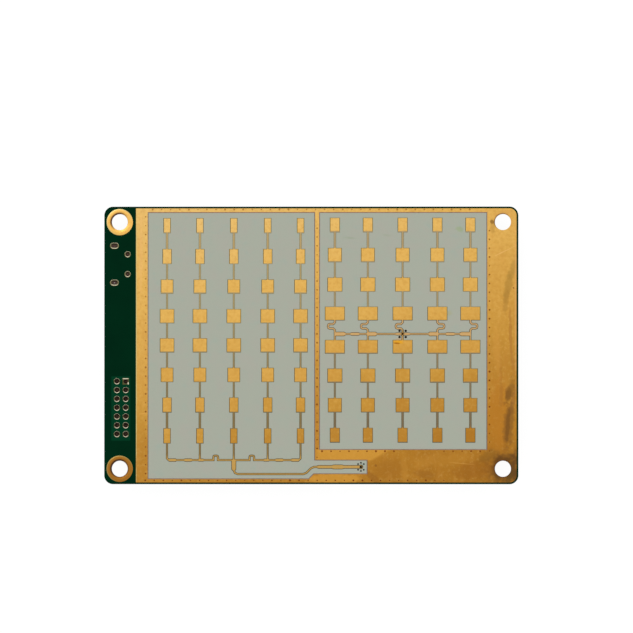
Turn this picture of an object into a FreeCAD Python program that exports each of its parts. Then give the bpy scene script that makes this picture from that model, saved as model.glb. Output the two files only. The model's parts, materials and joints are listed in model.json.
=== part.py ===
import FreeCAD
import Part
import Sketcher
import math
import os
import re

# Radar sensor board: a bare microwave circuit board with two fields of series-fed patch antennas
# on its front and the electronics on its rear. Millimetres. The origin is the centre of the four
# mounting holes in the plane of the board's rear face. +X points to the antenna end, +Y up in the
# installed position and +Z along the antennas' line of sight.

doc = FreeCAD.newDocument("radar_sensor")

SIZES = {
    # Board
    "board_thickness": 1.6,
    "board_corner": 2.0,
    "copper_thickness": 0.05,
    "mask_thickness": 0.03,
    "mask_clearance": 0.08,
    "plating_wall": 0.05,
    "strip_width": 7.2,
    "rim_width": 0.4,
    # Mounting holes
    "mount_inset": 3.5,
    "mount_hole": 3.8,
    "mount_ring": 6.2,
    # Windows in the copper, as distances from the outer rows and columns of patches. The board's
    # length and height are the sums of these, the patch pitches and the bands of copper
    "left_band": 2.7,
    "divider": 1.0,
    "right_band": 6.69,
    "top_band": 0.88,
    "bottom_band": 0.77,
    "left_window_left": 4.36,
    "left_window_right": 3.26,
    "left_window_top": 3.04,
    "left_window_bottom": 1.13,
    "right_window_left": 3.53,
    "right_window_right": 3.78,
    "right_window_top": 2.9,
    "right_window_bottom": 3.28,
    "channel_height": 3.2,
    "channel_past_via": 1.45,
    "channel_chamfer": 1.15,
    "chamfer_inset": 0.25,
    # Left field of patches, rows counted from its middle line
    "outer_row": 23.86,
    "left_inner_pitch": 7.7,
    "left_outer_pitch": 7.46,
    "left_row_a": 3.32,
    "left_row_b": 10.02,
    "left_row_c": 16.87,
    "left_width_a": 3.13,
    "left_width_b": 2.71,
    "left_width_c": 1.95,
    "left_width_d": 1.51,
    "left_length_a": 3.1,
    "left_length_b": 3.12,
    "left_length_c": 3.28,
    "left_length_d": 3.3,
    # Right field of patches
    "right_inner_pitch": 7.89,
    "right_outer_pitch": 7.49,
    "right_row_a": 3.78,
    "right_row_b": 10.33,
    "right_row_c": 17.04,
    "right_width_a": 4.38,
    "right_width_b": 3.25,
    "right_width_c": 3.0,
    "right_width_d": 2.12,
    "right_length_a": 3.0,
    "right_length_b": 3.1,
    "right_length_c": 3.12,
    "right_length_d": 3.22,
    # Printed lines
    "line_width": 0.32,
    "outer_line_width": 0.42,
    "left_bus_drop": 5.49,
    "left_transformer_width": 0.58,
    "left_trunk_width": 0.95,
    "left_trunk_length": 2.1,
    "bump_rise": 1.0,
    "bump_pitch": 1.04,
    "bump_offset": 4.1,
    "run_drop": 3.17,
    "run_end": 2.2,
    "channel_drop": 1.55,
    "channel_line_width": 0.65,
    "channel_stub_width": 0.92,
    "channel_line_length": 10.45,
    "right_bus_drop": 0.87,
    "right_transformer_width": 0.85,
    "right_medium_width": 0.6,
    "right_trunk_width": 0.52,
    "meander_reach": 1.54,
    "meander_top": 2.25,
    "meander_bottom": 1.25,
    "meander_width": 0.34,
    "meander_bend": 0.38,
    "left_stub_width": 0.52,
    "bus_corner": 0.38,
    "bump_bend": 0.3,
    "run_bend": 0.4,
    "trunk_shoulder": 0.1,
    "trunk_taper": 0.35,
    "right_trunk_reach": 1.3,
    "right_trunk_taper": 0.45,
    "line_overlap": 0.2,
    # Feed vias
    "feed_via": 0.6,
    "feed_pad": 0.9,
    # Host header, two columns of contacts on the 2 mm grid
    "header_inset": 3.87,
    "header_above_bottom": 17.33,
    "header_pitch": 2.0,
    "header_rows": 7,
    "header_columns": 2,
    "header_hole": 1.05,
    "header_pad": 1.44,
    "socket_width": 4.0,
    "socket_height": 4.3,
    "socket_end_wall": 1.2,
    "socket_well": 0.8,
    "socket_well_floor": 1.35,
    "contact_size": 0.4,
    "contact_tail": 0.9,
    "contact_leaf": 0.12,
    "contact_leaf_setback": 0.4,
    # Service port
    "port_below_top": 13.1,
    "port_width": 7.5,
    "port_height": 2.6,
    "port_wall": 0.3,
    "port_depth": 5.6,
    "port_corner_side": 0.9,
    "port_corner_foot": 0.7,
    "port_slot_inset": 2.3,
    "port_slot_spacing": 8.38,
    "port_slot_length": 1.45,
    "port_slot_width": 0.85,
    "port_slot_rim": 0.28,
    "port_round_from_back": 0.3,
    "port_round_spacing": 4.5,
    "port_round_hole": 0.95,
    "port_round_rim": 0.24,
    "port_leg_reach": 1.3,
    "port_leg_width": 0.9,
    "port_leg_thickness": 0.3,
    "port_rear_leg_width": 0.55,
    "port_block_depth": 1.2,
    "port_tongue_length": 3.4,
    "port_tongue_width": 3.5,
    "port_tongue_thickness": 0.6,
    "port_tongue_drop": 1.0,
    "port_contact_pitch": 0.65,
    "port_contact_width": 0.25,
    "port_contact_thickness": 0.12,
    "port_contact_tail": 0.8,
    "port_contact_count": 5,
    # Shield over the microwave circuit
    "shield_left_of_feed": 6.3,
    "shield_below_feed": 2.4,
    "shield_length": 28.0,
    "shield_width": 38.0,
    "shield_height": 2.8,
    "shield_wall": 0.3,
    "shield_flange": 1.1,
    "shield_bar": 1.6,
    "lid_sheet": 0.2,
    "lid_skirt": 1.5,
    "lid_clearance": 0.05,
    "lid_chamfer": 0.15,
    # Chips inside the shield, from its nearer side and its lower edge
    "transceiver_from_left": 9.0,
    "transceiver_up": 19.0,
    "transceiver_length": 5.5,
    "transceiver_width": 4.5,
    "synthesizer_from_right": 9.0,
    "synthesizer_up": 12.0,
    "synthesizer_side": 4.0,
    "flat_chip_height": 0.85,
    "oscillator_from_right": 5.0,
    "oscillator_up": 21.0,
    "oscillator_length": 3.2,
    "oscillator_width": 2.5,
    "oscillator_height": 0.9,
    # Signal processor, from the left end of the board
    "processor_right": 32.0,
    "processor_above_flash": 13.5,
    "processor_body": 7.0,
    "processor_span": 9.0,
    "processor_height": 1.5,
    "processor_pitch": 0.8,
    "processor_side_leads": 8,
    "processor_lead_width": 0.35,
    "crystal_above_processor": 8.5,
    "crystal_length": 5.0,
    "crystal_width": 3.2,
    "crystal_height": 1.1,
    # Baseband amplifiers
    "amplifier_beside_shield": 8.49,
    "amplifier_above_bottom": 26.5,
    "amplifier_step": 9.0,
    "amplifier_body": 3.9,
    "amplifier_span": 6.0,
    "amplifier_length": 4.9,
    "amplifier_height": 1.6,
    "amplifier_pitch": 1.27,
    "amplifier_side_leads": 4,
    "amplifier_lead_width": 0.42,
    # Flash memory
    "flash_right": 31.0,
    "flash_above_bottom": 21.0,
    "flash_body": 3.9,
    "flash_span": 6.0,
    "flash_length": 4.9,
    "flash_height": 1.6,
    "flash_pitch": 1.27,
    "flash_side_leads": 4,
    "flash_lead_width": 0.42,
    # Voltage regulators above the shield
    "regulator_inside_shield": 6.01,
    "regulator_above_shield": 8.98,
    "regulator_step": 13.0,
    "regulator_body": 3.5,
    "regulator_span": 7.0,
    "regulator_length": 6.5,
    "regulator_height": 1.6,
    "regulator_pitch": 2.3,
    "regulator_side_leads": 3,
    "regulator_lead_width": 0.7,
    "regulator_tab": 3.0,
    # Tantalum capacitors beside the regulators
    "tantalum_above_regulator": 8.0,
    "tantalum_length": 6.0,
    "tantalum_width": 3.2,
    "tantalum_height": 2.5,
    "tantalum_terminal": 0.5,
    # Port chips
    "surge_right": 11.0,
    "surge_body": 1.6,
    "surge_span": 3.0,
    "surge_length": 2.9,
    "surge_height": 1.1,
    "surge_pitch": 0.95,
    "surge_side_leads": 3,
    "surge_lead_width": 0.4,
    "bridge_right": 17.5,
    "bridge_side": 4.0,
    # Power inductor of the step-down supply
    "inductor_right": 16.0,
    "inductor_above_bottom": 7.5,
    "inductor_side": 6.0,
    "inductor_height": 2.8,
    "inductor_corner": 1.0,
    "inductor_terminal": 1.6,
    "inductor_terminal_thickness": 0.15,
    # Common to the leaded packages
    "standoff": 0.1,
    "body_taper": 0.12,
    "lead_thickness": 0.15,
    "lead_foot": 0.5,
    # Chip capacitors and resistors
    "chip_length": 1.6,
    "chip_width": 0.8,
    "capacitor_height": 0.8,
    "resistor_height": 0.45,
    "chip_end": 0.35,
    "chip_pitch": 2.0,
    "chip_wide_pitch": 2.4,
    "chip_row_gap": 1.6,
    "shielded_row_gap": 1.4,
    "crystal_chip_spacing": 8.0,
    "regulator_chip_reach": 6.0,
    "bridge_chip_reach": 4.0,
    "inductor_chip_reach": 5.2,
}

# Steps in the width of the printed lines: distance from where the line starts, width from there
LEFT_BUS_OUTER_STEPS = [
    (0.38, "line_width"), (0.46, "left_transformer_width"), (1.98, "left_transformer_width"),
    (2.1, "line_width"), (3.85, "line_width"), (4.1, "left_transformer_width"),
    (5.5, "left_transformer_width"), (5.75, "line_width"),
]
LEFT_BUS_INNER_STEPS = [
    (-0.35, "line_width"), (-0.2, "left_stub_width"), (0.75, "left_stub_width"),
    (0.9, "line_width"),
]
CHANNEL_STEPS = [
    (0.4, "line_width"), (0.9, "line_width"), (1.4, "channel_line_width"),
    (4.4, "channel_line_width"), (4.85, "channel_stub_width"), (6.75, "channel_stub_width"),
    (7.2, "channel_line_width"),
]
RIGHT_BUS_OUTER_STEPS = [
    (-0.16, "right_transformer_width"), (2.1, "right_transformer_width"), (2.5, "line_width"),
    (3.5, "line_width"), (3.75, "right_medium_width"), (5.4, "right_medium_width"),
    (5.6, "line_width"),
]
RIGHT_BUS_INNER_STEPS = [
    (-0.3, "line_width"), (-0.15, "right_transformer_width"), (1.75, "right_transformer_width"),
    (2.05, "line_width"),
]

SMALL_HOLE_SIDES = 8
BEND_MIDDLE = 1 - math.sqrt(0.5)
THROUGH_ALL = 1

sheet = doc.addObject("Spreadsheet::Sheet", "Sizes")
for row, (alias, value) in enumerate(SIZES.items(), start=1):
    sheet.set(f"A{row}", alias)
    sheet.set(f"B{row}", str(value))
    sheet.setAlias(f"B{row}", alias)
doc.recompute()


def full(text):
    """An expression on the sheet's aliases, as any object of the document reads it."""
    return re.sub(r"[a-z][a-z_0-9]+", r"Sizes.\g<0>", text)


def size(text):
    return float(sheet.evalExpression(full(text)))


# Places that several pieces share
BOARD_LENGTH = (
    "(strip_width + left_band + left_window_left + 2*left_inner_pitch + 2*left_outer_pitch"
    " + left_window_right + divider + right_window_left + 2*right_inner_pitch"
    " + 2*right_outer_pitch + right_window_right + right_band + rim_width)"
)
BOARD_HEIGHT = (
    "(rim_width + top_band + left_window_top + 2*outer_row + left_bus_drop + run_drop"
    " + left_window_bottom + bottom_band + rim_width)"
)
BOARD_LEFT = f"(-{BOARD_LENGTH}/2)"
BOARD_RIGHT = f"({BOARD_LENGTH}/2)"
BOARD_TOP = f"({BOARD_HEIGHT}/2)"
BOARD_BOTTOM = f"(-{BOARD_HEIGHT}/2)"
LAMINATE_FACE = "(board_thickness - copper_thickness)"
POUR_LEFT = f"({BOARD_LEFT} + strip_width)"
POUR_RIGHT = f"({BOARD_RIGHT} - rim_width)"
POUR_TOP = f"({BOARD_TOP} - rim_width)"
POUR_BOTTOM = f"({BOARD_BOTTOM} + rim_width)"
MOUNT_X = f"({BOARD_RIGHT} - mount_inset)"
MOUNT_Y = f"({BOARD_TOP} - mount_inset)"

LEFT_WINDOW_LEFT = f"({POUR_LEFT} + left_band)"
LEFT_X = f"({LEFT_WINDOW_LEFT} + left_window_left + left_outer_pitch + left_inner_pitch)"
LEFT_WINDOW_RIGHT = f"({LEFT_X} + left_inner_pitch + left_outer_pitch + left_window_right)"
WINDOW_TOP = f"({POUR_TOP} - top_band)"
LEFT_Y = f"({WINDOW_TOP} - left_window_top - outer_row)"
LEFT_BUS_Y = f"({LEFT_Y} - outer_row - left_bus_drop)"
LEFT_RUN_Y = f"({LEFT_BUS_Y} - run_drop)"
CHANNEL_Y = f"({LEFT_BUS_Y} - channel_drop)"
CHANNEL_TOP = f"({CHANNEL_Y} + channel_height/2)"
CHANNEL_BOTTOM = f"({CHANNEL_Y} - channel_height/2)"
LEFT_WINDOW_BOTTOM = f"({LEFT_RUN_Y} - left_window_bottom)"
LEFT_FEED_X = f"({LEFT_WINDOW_RIGHT} + channel_line_length)"
CHANNEL_RIGHT = f"({LEFT_FEED_X} + channel_past_via)"

RIGHT_WINDOW_LEFT = f"({LEFT_WINDOW_RIGHT} + divider)"
RIGHT_X = f"({RIGHT_WINDOW_LEFT} + right_window_left + right_outer_pitch + right_inner_pitch)"
RIGHT_WINDOW_RIGHT = f"({RIGHT_X} + right_inner_pitch + right_outer_pitch + right_window_right)"
RIGHT_Y = f"({WINDOW_TOP} - right_window_top - outer_row)"
RIGHT_WINDOW_BOTTOM = f"({RIGHT_Y} - outer_row - right_window_bottom)"
RIGHT_BUS_Y = f"({RIGHT_Y} - right_bus_drop)"

HEADER_X = f"({BOARD_LEFT} + header_inset)"
HEADER_Y = f"({BOARD_BOTTOM} + header_above_bottom)"
HEADER_LENGTH = "(header_pitch*(header_rows - 1) + 2*socket_end_wall)"
PORT_Y = f"({BOARD_TOP} - port_below_top)"
PORT_SLOT_X = f"({BOARD_LEFT} + port_slot_inset)"
PORT_ROUND_X = f"({BOARD_LEFT} + port_depth - port_round_from_back)"
SHIELD_LEFT = f"({LEFT_FEED_X} - shield_left_of_feed)"
SHIELD_BOTTOM = f"({CHANNEL_Y} - shield_below_feed)"
SHIELD_RIGHT = f"({SHIELD_LEFT} + shield_length)"
SHIELD_TOP = f"({SHIELD_BOTTOM} + shield_width)"
TRANSCEIVER_X = f"({SHIELD_LEFT} + transceiver_from_left)"
SYNTHESIZER_X = f"({SHIELD_RIGHT} - synthesizer_from_right)"
OSCILLATOR_X = f"({SHIELD_RIGHT} - oscillator_from_right)"
FLASH_X = f"({BOARD_LEFT} + flash_right)"
FLASH_Y = f"({BOARD_BOTTOM} + flash_above_bottom)"
PROCESSOR_X = f"({BOARD_LEFT} + processor_right)"
PROCESSOR_Y = f"({FLASH_Y} + processor_above_flash)"
CRYSTAL_Y = f"({PROCESSOR_Y} + crystal_above_processor)"
AMPLIFIER_X = f"({SHIELD_LEFT} - amplifier_beside_shield)"
AMPLIFIER_Y = f"({BOARD_BOTTOM} + amplifier_above_bottom)"
REGULATOR_X = f"({SHIELD_LEFT} + regulator_inside_shield)"
REGULATOR_Y = f"({SHIELD_TOP} + regulator_above_shield)"
TANTALUM_Y = f"({REGULATOR_Y} + tantalum_above_regulator)"
INDUCTOR_Y = f"({BOARD_BOTTOM} + inductor_above_bottom)"


# Helpers for primitives, booleans and sketches

def bind(feature, **sizes):
    for name, text in sizes.items():
        feature.setExpression(name, full(text))
    return feature


def at(feature, x, y, z):
    for axis, text in zip("xyz", (x, y, z)):
        feature.setExpression(f"Placement.Base.{axis}", full(text))
    return feature


def box(name, x, y, z, length, width, height):
    feature = bind(doc.addObject("Part::Box", name), Length=length, Width=width, Height=height)
    return at(feature, x, y, z)


def centred_box(name, x, y, z, length, width, height):
    return box(name, f"{x} - ({length})/2", f"{y} - ({width})/2", z, length, width, height)


def cylinder(name, x, y, z, diameter, height):
    feature = bind(doc.addObject("Part::Cylinder", name), Radius=f"({diameter})/2", Height=height)
    return at(feature, x, y, z)


def prism(name, x, y, z, across, height, sides):
    feature = bind(doc.addObject("Part::Prism", name), Circumradius=f"({across})/2", Height=height)
    feature.Polygon = sides
    return at(feature, x, y, z)


def fuse(name, shapes):
    feature = doc.addObject("Part::MultiFuse", name)
    feature.Shapes = shapes
    feature.Refine = True
    return feature


def cut(name, base, tool):
    feature = doc.addObject("Part::Cut", name)
    feature.Base = base
    feature.Tool = tool
    feature.Refine = True
    return feature


def slot(name, x, y, z, length, width, height):
    """Upright solid with a rounded outline, long along X."""
    straight = f"(({length}) - ({width}))"
    return fuse(name, [
        centred_box(f"{name}_middle", x, y, z, straight, width, height),
        prism(f"{name}_end_a", f"{x} - {straight}/2", y, z, width, height, SMALL_HOLE_SIDES),
        prism(f"{name}_end_b", f"{x} + {straight}/2", y, z, width, height, SMALL_HOLE_SIDES),
    ])


def moulded_block(name, x, y, length, width, height):
    """Moulded chip body that narrows away from the board's rear face."""
    feature = doc.addObject("Part::Wedge", name)
    bind(
        feature,
        Xmin=f"-({length})/2", Xmax=f"({length})/2",
        Zmin=f"-({width})/2", Zmax=f"({width})/2",
        X2min=f"-({length})/2 + body_taper", X2max=f"({length})/2 - body_taper",
        Z2min=f"-({width})/2 + body_taper", Z2max=f"({width})/2 - body_taper",
        Ymax=f"({height}) - standoff",
    )
    feature.Ymin = 0
    feature.Placement = FreeCAD.Placement(
        FreeCAD.Vector(), FreeCAD.Rotation(FreeCAD.Vector(1, 0, 0), -90)
    )
    return at(feature, x, y, "-standoff")


def origin_feature(body, role):
    return next(item for item in body.Origin.OriginFeatures if item.Role == role)


def new_body(name):
    body = doc.addObject("PartDesign::Body", name)
    body.AllowCompound = True
    return body


def new_sketch(body, name, offset="0", plane="XY_Plane"):
    sketch = body.newObject("Sketcher::SketchObject", name)
    sketch.AttachmentSupport = [(origin_feature(body, plane), "")]
    sketch.MapMode = "FlatFace"
    sketch.setExpression("AttachmentOffset.Base.z", full(offset))
    return sketch


def fix(sketch, kind, geometry, vertex, text):
    constraint = Sketcher.Constraint(kind, -1, 1, geometry, vertex, size(text))
    index = sketch.addConstraint(constraint)
    sketch.setExpression(f"Constraints[{index}]", full(text))


def draw_polygon(sketch, corners):
    """Closed outline whose corners are pairs of expressions."""
    first = sketch.GeometryCount
    points = [FreeCAD.Vector(size(x), size(y), 0) for x, y in corners]
    count = len(points)
    for index in range(count):
        line = Part.LineSegment(points[index], points[(index + 1) % count])
        sketch.addGeometry(line, False)
    for index in range(count):
        following = first + (index + 1) % count
        sketch.addConstraint(Sketcher.Constraint("Coincident", first + index, 2, following, 1))
    for index, (x, y) in enumerate(corners):
        fix(sketch, "DistanceX", first + index, 1, x)
        fix(sketch, "DistanceY", first + index, 1, y)


def draw_rectangle(sketch, left, bottom, right, top):
    draw_polygon(sketch, [(left, bottom), (right, bottom), (right, top), (left, top)])


def draw_circle(sketch, x, y, diameter):
    centre = FreeCAD.Vector(size(x), size(y), 0)
    radius = size(f"({diameter})/2")
    index = sketch.addGeometry(Part.Circle(centre, FreeCAD.Vector(0, 0, 1), radius), False)
    fix(sketch, "DistanceX", index, 3, x)
    fix(sketch, "DistanceY", index, 3, y)
    constraint = sketch.addConstraint(Sketcher.Constraint("Radius", index, radius))
    sketch.setExpression(f"Constraints[{constraint}]", full(f"({diameter})/2"))


def pad(body, sketch, length, away=False, midplane=False):
    feature = body.newObject("PartDesign::Pad", f"{body.Name}_pad")
    feature.Profile = sketch
    feature.Reversed = away
    feature.Midplane = midplane
    return bind(feature, Length=length)


def pocket(body, sketch, depth=None, upward=True, midplane=False):
    """Cut along +Z if upward, through everything unless a depth is given."""
    feature = body.newObject("PartDesign::Pocket", f"{body.Name}_pocket")
    feature.Profile = sketch
    feature.Reversed = upward
    feature.Midplane = midplane
    if depth is None:
        feature.Type = THROUGH_ALL
    else:
        bind(feature, Length=depth)
    return feature


def repeat(body, feature, steps, name):
    """Repeat a feature along the body's axes. A step is an axis, a length and a count."""
    multi = body.newObject("PartDesign::MultiTransform", name)
    patterns = []
    for number, (axis, length, count) in enumerate(steps):
        if axis == "turns":
            pattern = body.newObject("PartDesign::PolarPattern", f"{name}_turn")
            pattern.Axis = (origin_feature(body, "Z_Axis"), [""])
            pattern.Angle = 360
        else:
            pattern = body.newObject("PartDesign::LinearPattern", f"{name}_{number}")
            pattern.Direction = (origin_feature(body, axis), [""])
            bind(pattern, Length=length)
        pattern.setExpression("Occurrences", full(count))
        patterns.append(pattern)
    multi.Originals = [feature]
    multi.Transformations = patterns
    body.Tip = multi
    return multi


def round_upright_edges(body, feature, radius, on_side):
    """Fillet the upright edges for which on_side(x, y) holds."""
    names = []
    for number, edge in enumerate(feature.Shape.Edges, start=1):
        ends = [vertex.Point for vertex in edge.Vertexes]
        upright = len(ends) == 2 and abs(ends[0].x - ends[1].x) + abs(ends[0].y - ends[1].y) < 1e-6
        if upright and on_side(ends[0].x, ends[0].y):
            names.append(f"Edge{number}")
    fillet = body.newObject("PartDesign::Fillet", f"{body.Name}_corners")
    fillet.Base = (feature, names)
    return bind(fillet, Radius=radius)


def quadrants(x, y):
    return [(f"{i}*{x}", f"{j}*{y}") for i in (-1, 1) for j in (-1, 1)]


nodes = []


def node(feature, name):
    feature.Label = name
    nodes.append(feature)
    return feature


# The holes that pass through the board

def header_places():
    middle = (size("header_rows") - 1) / 2
    for column in (-1, 1):
        for row in range(int(size("header_rows"))):
            yield (
                f"{HEADER_X} + {column}*header_pitch/2",
                f"{HEADER_Y} + ({middle - row})*header_pitch",
                column == 1 and row == 0,
            )


def header_prisms(name, z, across, height):
    return fuse(name, [
        prism(f"{name}_{number}", x, y, z, across, height, SMALL_HOLE_SIDES)
        for number, (x, y, first) in enumerate(header_places())
    ])


def port_holes(name, z, grow, height):
    """The two slots and two round holes under the port, larger than the holes by grow."""
    shapes = []
    for side in (-1, 1):
        shapes.append(slot(
            f"{name}_slot_{side + 1}", PORT_SLOT_X, f"{PORT_Y} + {side}*port_slot_spacing/2", z,
            f"port_slot_length + {grow[0]}", f"port_slot_width + {grow[0]}", height,
        ))
        shapes.append(prism(
            f"{name}_round_{side + 1}", PORT_ROUND_X, f"{PORT_Y} + {side}*port_round_spacing/2",
            z, f"port_round_hole + {grow[1]}", height, SMALL_HOLE_SIDES,
        ))
    return fuse(name, shapes)


FEEDS = [(LEFT_FEED_X, CHANNEL_Y), (RIGHT_X, RIGHT_BUS_Y)]


def board_drills(name, z, height):
    shapes = [
        header_prisms(f"{name}_header", z, "header_hole + 2*plating_wall", height),
        port_holes(f"{name}_port", z, ("2*plating_wall", "2*plating_wall"), height),
    ]
    for number, (x, y) in enumerate(FEEDS):
        shapes.append(prism(f"{name}_feed_{number}", x, y, z, "feed_via", height, SMALL_HOLE_SIDES))
    return fuse(name, shapes)


# Circuit board: the laminate that everything else is printed on or soldered to

def make_circuit_board():
    body = new_body("board_blank")
    outline = new_sketch(body, "board_outline")
    draw_rectangle(outline, BOARD_LEFT, BOARD_BOTTOM, BOARD_RIGHT, BOARD_TOP)
    plate = pad(body, outline, LAMINATE_FACE)
    doc.recompute()
    round_upright_edges(body, plate, "board_corner", lambda x, y: True)
    holes = new_sketch(body, "board_mount_holes")
    for x, y in quadrants(MOUNT_X, MOUNT_Y):
        draw_circle(holes, x, y, "mount_hole + 2*plating_wall")
    pocket(body, holes)
    drills = board_drills("board_drills", "0", LAMINATE_FACE)
    return node(cut("board", body, drills), "circuit_board")


# Front copper: the ground area with its two windows and the channel under the right one

def copper_blank(name, height):
    """The area that the copper covers, up from the laminate's face."""
    body = new_body(name)
    outline = new_sketch(body, f"{name}_outline", LAMINATE_FACE)
    draw_rectangle(outline, POUR_LEFT, POUR_BOTTOM, POUR_RIGHT, POUR_TOP)
    plate = pad(body, outline, height)
    doc.recompute()
    middle = size("strip_width")
    round_upright_edges(body, plate, "board_corner - rim_width", lambda x, y: x > middle)
    return body


def make_ground_copper():
    body = copper_blank("ground", "copper_thickness")
    windows = new_sketch(body, "ground_windows", LAMINATE_FACE)
    draw_polygon(windows, [
        (LEFT_WINDOW_LEFT, LEFT_WINDOW_BOTTOM),
        (f"{LEFT_WINDOW_RIGHT} - chamfer_inset - channel_chamfer", LEFT_WINDOW_BOTTOM),
        (f"{LEFT_WINDOW_RIGHT} - chamfer_inset", CHANNEL_BOTTOM),
        (CHANNEL_RIGHT, CHANNEL_BOTTOM),
        (CHANNEL_RIGHT, CHANNEL_TOP),
        (LEFT_WINDOW_RIGHT, CHANNEL_TOP),
        (LEFT_WINDOW_RIGHT, WINDOW_TOP),
        (LEFT_WINDOW_LEFT, WINDOW_TOP),
    ])
    draw_rectangle(
        windows, RIGHT_WINDOW_LEFT, RIGHT_WINDOW_BOTTOM, RIGHT_WINDOW_RIGHT, WINDOW_TOP
    )
    pocket(body, windows)
    linings = new_sketch(body, "ground_linings", LAMINATE_FACE)
    bores = new_sketch(body, "ground_bores", LAMINATE_FACE)
    for side in (-1, 1):
        draw_circle(linings, MOUNT_X, f"{side}*{MOUNT_Y}", "mount_hole + 2*plating_wall")
        draw_circle(bores, MOUNT_X, f"{side}*{MOUNT_Y}", "mount_hole")
    pad(body, linings, LAMINATE_FACE, away=True)
    pocket(body, bores, midplane=True)
    return node(body, "ground_copper")


# Solder mask: the strip at the left end and the rim round the copper

def make_front_mask():
    body = new_body("front_mask_coat")
    outline = new_sketch(body, "front_mask_outline", LAMINATE_FACE)
    draw_rectangle(outline, BOARD_LEFT, BOARD_BOTTOM, BOARD_RIGHT, BOARD_TOP)
    coat = pad(body, outline, "mask_thickness")
    doc.recompute()
    round_upright_edges(body, coat, "board_corner", lambda x, y: True)
    rings = new_sketch(body, "front_mask_rings", LAMINATE_FACE)
    for side in (-1, 1):
        draw_circle(rings, f"-{MOUNT_X}", f"{side}*{MOUNT_Y}", "mount_ring + 2*mask_clearance")
    pocket(body, rings)
    pads = fuse("front_mask_pads", [
        header_prisms(
            "front_mask_header", LAMINATE_FACE, "header_pad + 2*mask_clearance", "mask_thickness"
        ),
        centred_box(
            "front_mask_first", f"{HEADER_X} + header_pitch/2",
            f"{HEADER_Y} + header_pitch*(header_rows - 1)/2", LAMINATE_FACE,
            "header_pad + 2*mask_clearance", "header_pad + 2*mask_clearance", "mask_thickness",
        ),
        port_holes(
            "front_mask_port", LAMINATE_FACE,
            ("2*port_slot_rim + 2*plating_wall + 2*mask_clearance",
             "2*port_round_rim + 2*plating_wall + 2*mask_clearance"),
            "mask_thickness",
        ),
    ])
    opening = copper_blank("front_mask_opening", "mask_thickness")
    return node(cut("front_mask", cut("front_mask_frame", body, opening), pads), "front_solder_mask")


# Plated holes and vias

def make_mounting_plating():
    """Eyelets of the two holes in the mask. The copper area lines the other two itself."""
    eyelets = []
    for side in (-1, 1):
        name = f"mount_{side + 1}"
        x, y = f"-{MOUNT_X}", f"{side}*{MOUNT_Y}"
        barrel = cylinder(
            f"{name}_barrel", x, y, "0", "mount_hole + 2*plating_wall", "board_thickness"
        )
        ring = cylinder(f"{name}_ring", x, y, LAMINATE_FACE, "mount_ring", "copper_thickness")
        bore = cylinder(f"{name}_bore", x, y, "0", "mount_hole", "board_thickness")
        eyelets.append(cut(name, fuse(f"{name}_solid", [barrel, ring]), bore))
    feature = doc.addObject("Part::Compound", "mount_eyelets")
    feature.Links = eyelets
    return node(feature, "mounting_hole_plating")


def make_header_plating():
    barrels = []
    for number, (x, y, first) in enumerate(header_places()):
        name = f"plated_{number}"
        barrel = prism(
            f"{name}_barrel", x, y, "0", "header_hole + 2*plating_wall",
            "board_thickness", SMALL_HOLE_SIDES,
        )
        if first:
            ring = centred_box(
                f"{name}_pad", x, y, LAMINATE_FACE, "header_pad", "header_pad", "copper_thickness"
            )
        else:
            ring = prism(
                f"{name}_pad", x, y, LAMINATE_FACE, "header_pad", "copper_thickness",
                SMALL_HOLE_SIDES,
            )
        bore = prism(
            f"{name}_bore", x, y, "0", "header_hole", "board_thickness", SMALL_HOLE_SIDES
        )
        barrels.append(cut(name, fuse(f"{name}_solid", [barrel, ring]), bore))
    feature = doc.addObject("Part::Compound", "header_barrels")
    feature.Links = barrels
    return node(feature, "header_hole_plating")


def make_port_plating():
    solid = fuse("port_plating_solid", [
        port_holes(
            "port_barrels", "0", ("2*plating_wall", "2*plating_wall"), "board_thickness"
        ),
        port_holes(
            "port_pads", LAMINATE_FACE,
            ("2*port_slot_rim + 2*plating_wall", "2*port_round_rim + 2*plating_wall"),
            "copper_thickness",
        ),
    ])
    bores = port_holes(
        "port_bores", "0", ("0", "0"), "board_thickness"
    )
    return node(cut("port_plating", solid, bores), "port_hole_plating")


def make_feed_vias():
    vias = []
    for number, (x, y) in enumerate(FEEDS):
        name = f"feed_{number}"
        barrel = prism(f"{name}_barrel", x, y, "0", "feed_via", "board_thickness",
                       SMALL_HOLE_SIDES)
        bore = prism(f"{name}_bore", x, y, "0", "feed_via - 2*plating_wall",
                     "board_thickness", SMALL_HOLE_SIDES)
        vias.append(cut(name, barrel, bore))
    feature = doc.addObject("Part::Compound", "feeds")
    feature.Links = vias
    return node(feature, "feed_vias")


# Patch antennas: flat copper drawn as rectangles and lines and united into one sheet

def rectangle(x, y, width, height):
    """Corners of a rectangle centred on x, y."""
    return [
        (x - width / 2, y - height / 2), (x + width / 2, y - height / 2),
        (x + width / 2, y + height / 2), (x - width / 2, y + height / 2),
    ]


def trace(points, width):
    """Outline of a line of one width along points, with mitred corners."""
    left, right = [], []
    for index, (x, y) in enumerate(points):
        before = points[max(index - 1, 0)]
        after = points[min(index + 1, len(points) - 1)]
        into = FreeCAD.Vector(x - before[0], y - before[1], 0)
        out = FreeCAD.Vector(after[0] - x, after[1] - y, 0)
        if into.Length < 1e-9:
            into = out
        if out.Length < 1e-9:
            out = into
        middle = into.normalize() + out.normalize()
        middle.normalize()
        reach = width / 2 / max(middle.dot(into), 0.1)
        left.append((x - middle.y * reach, y + middle.x * reach))
        right.append((x + middle.y * reach, y - middle.x * reach))
    return left + right[::-1]


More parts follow.
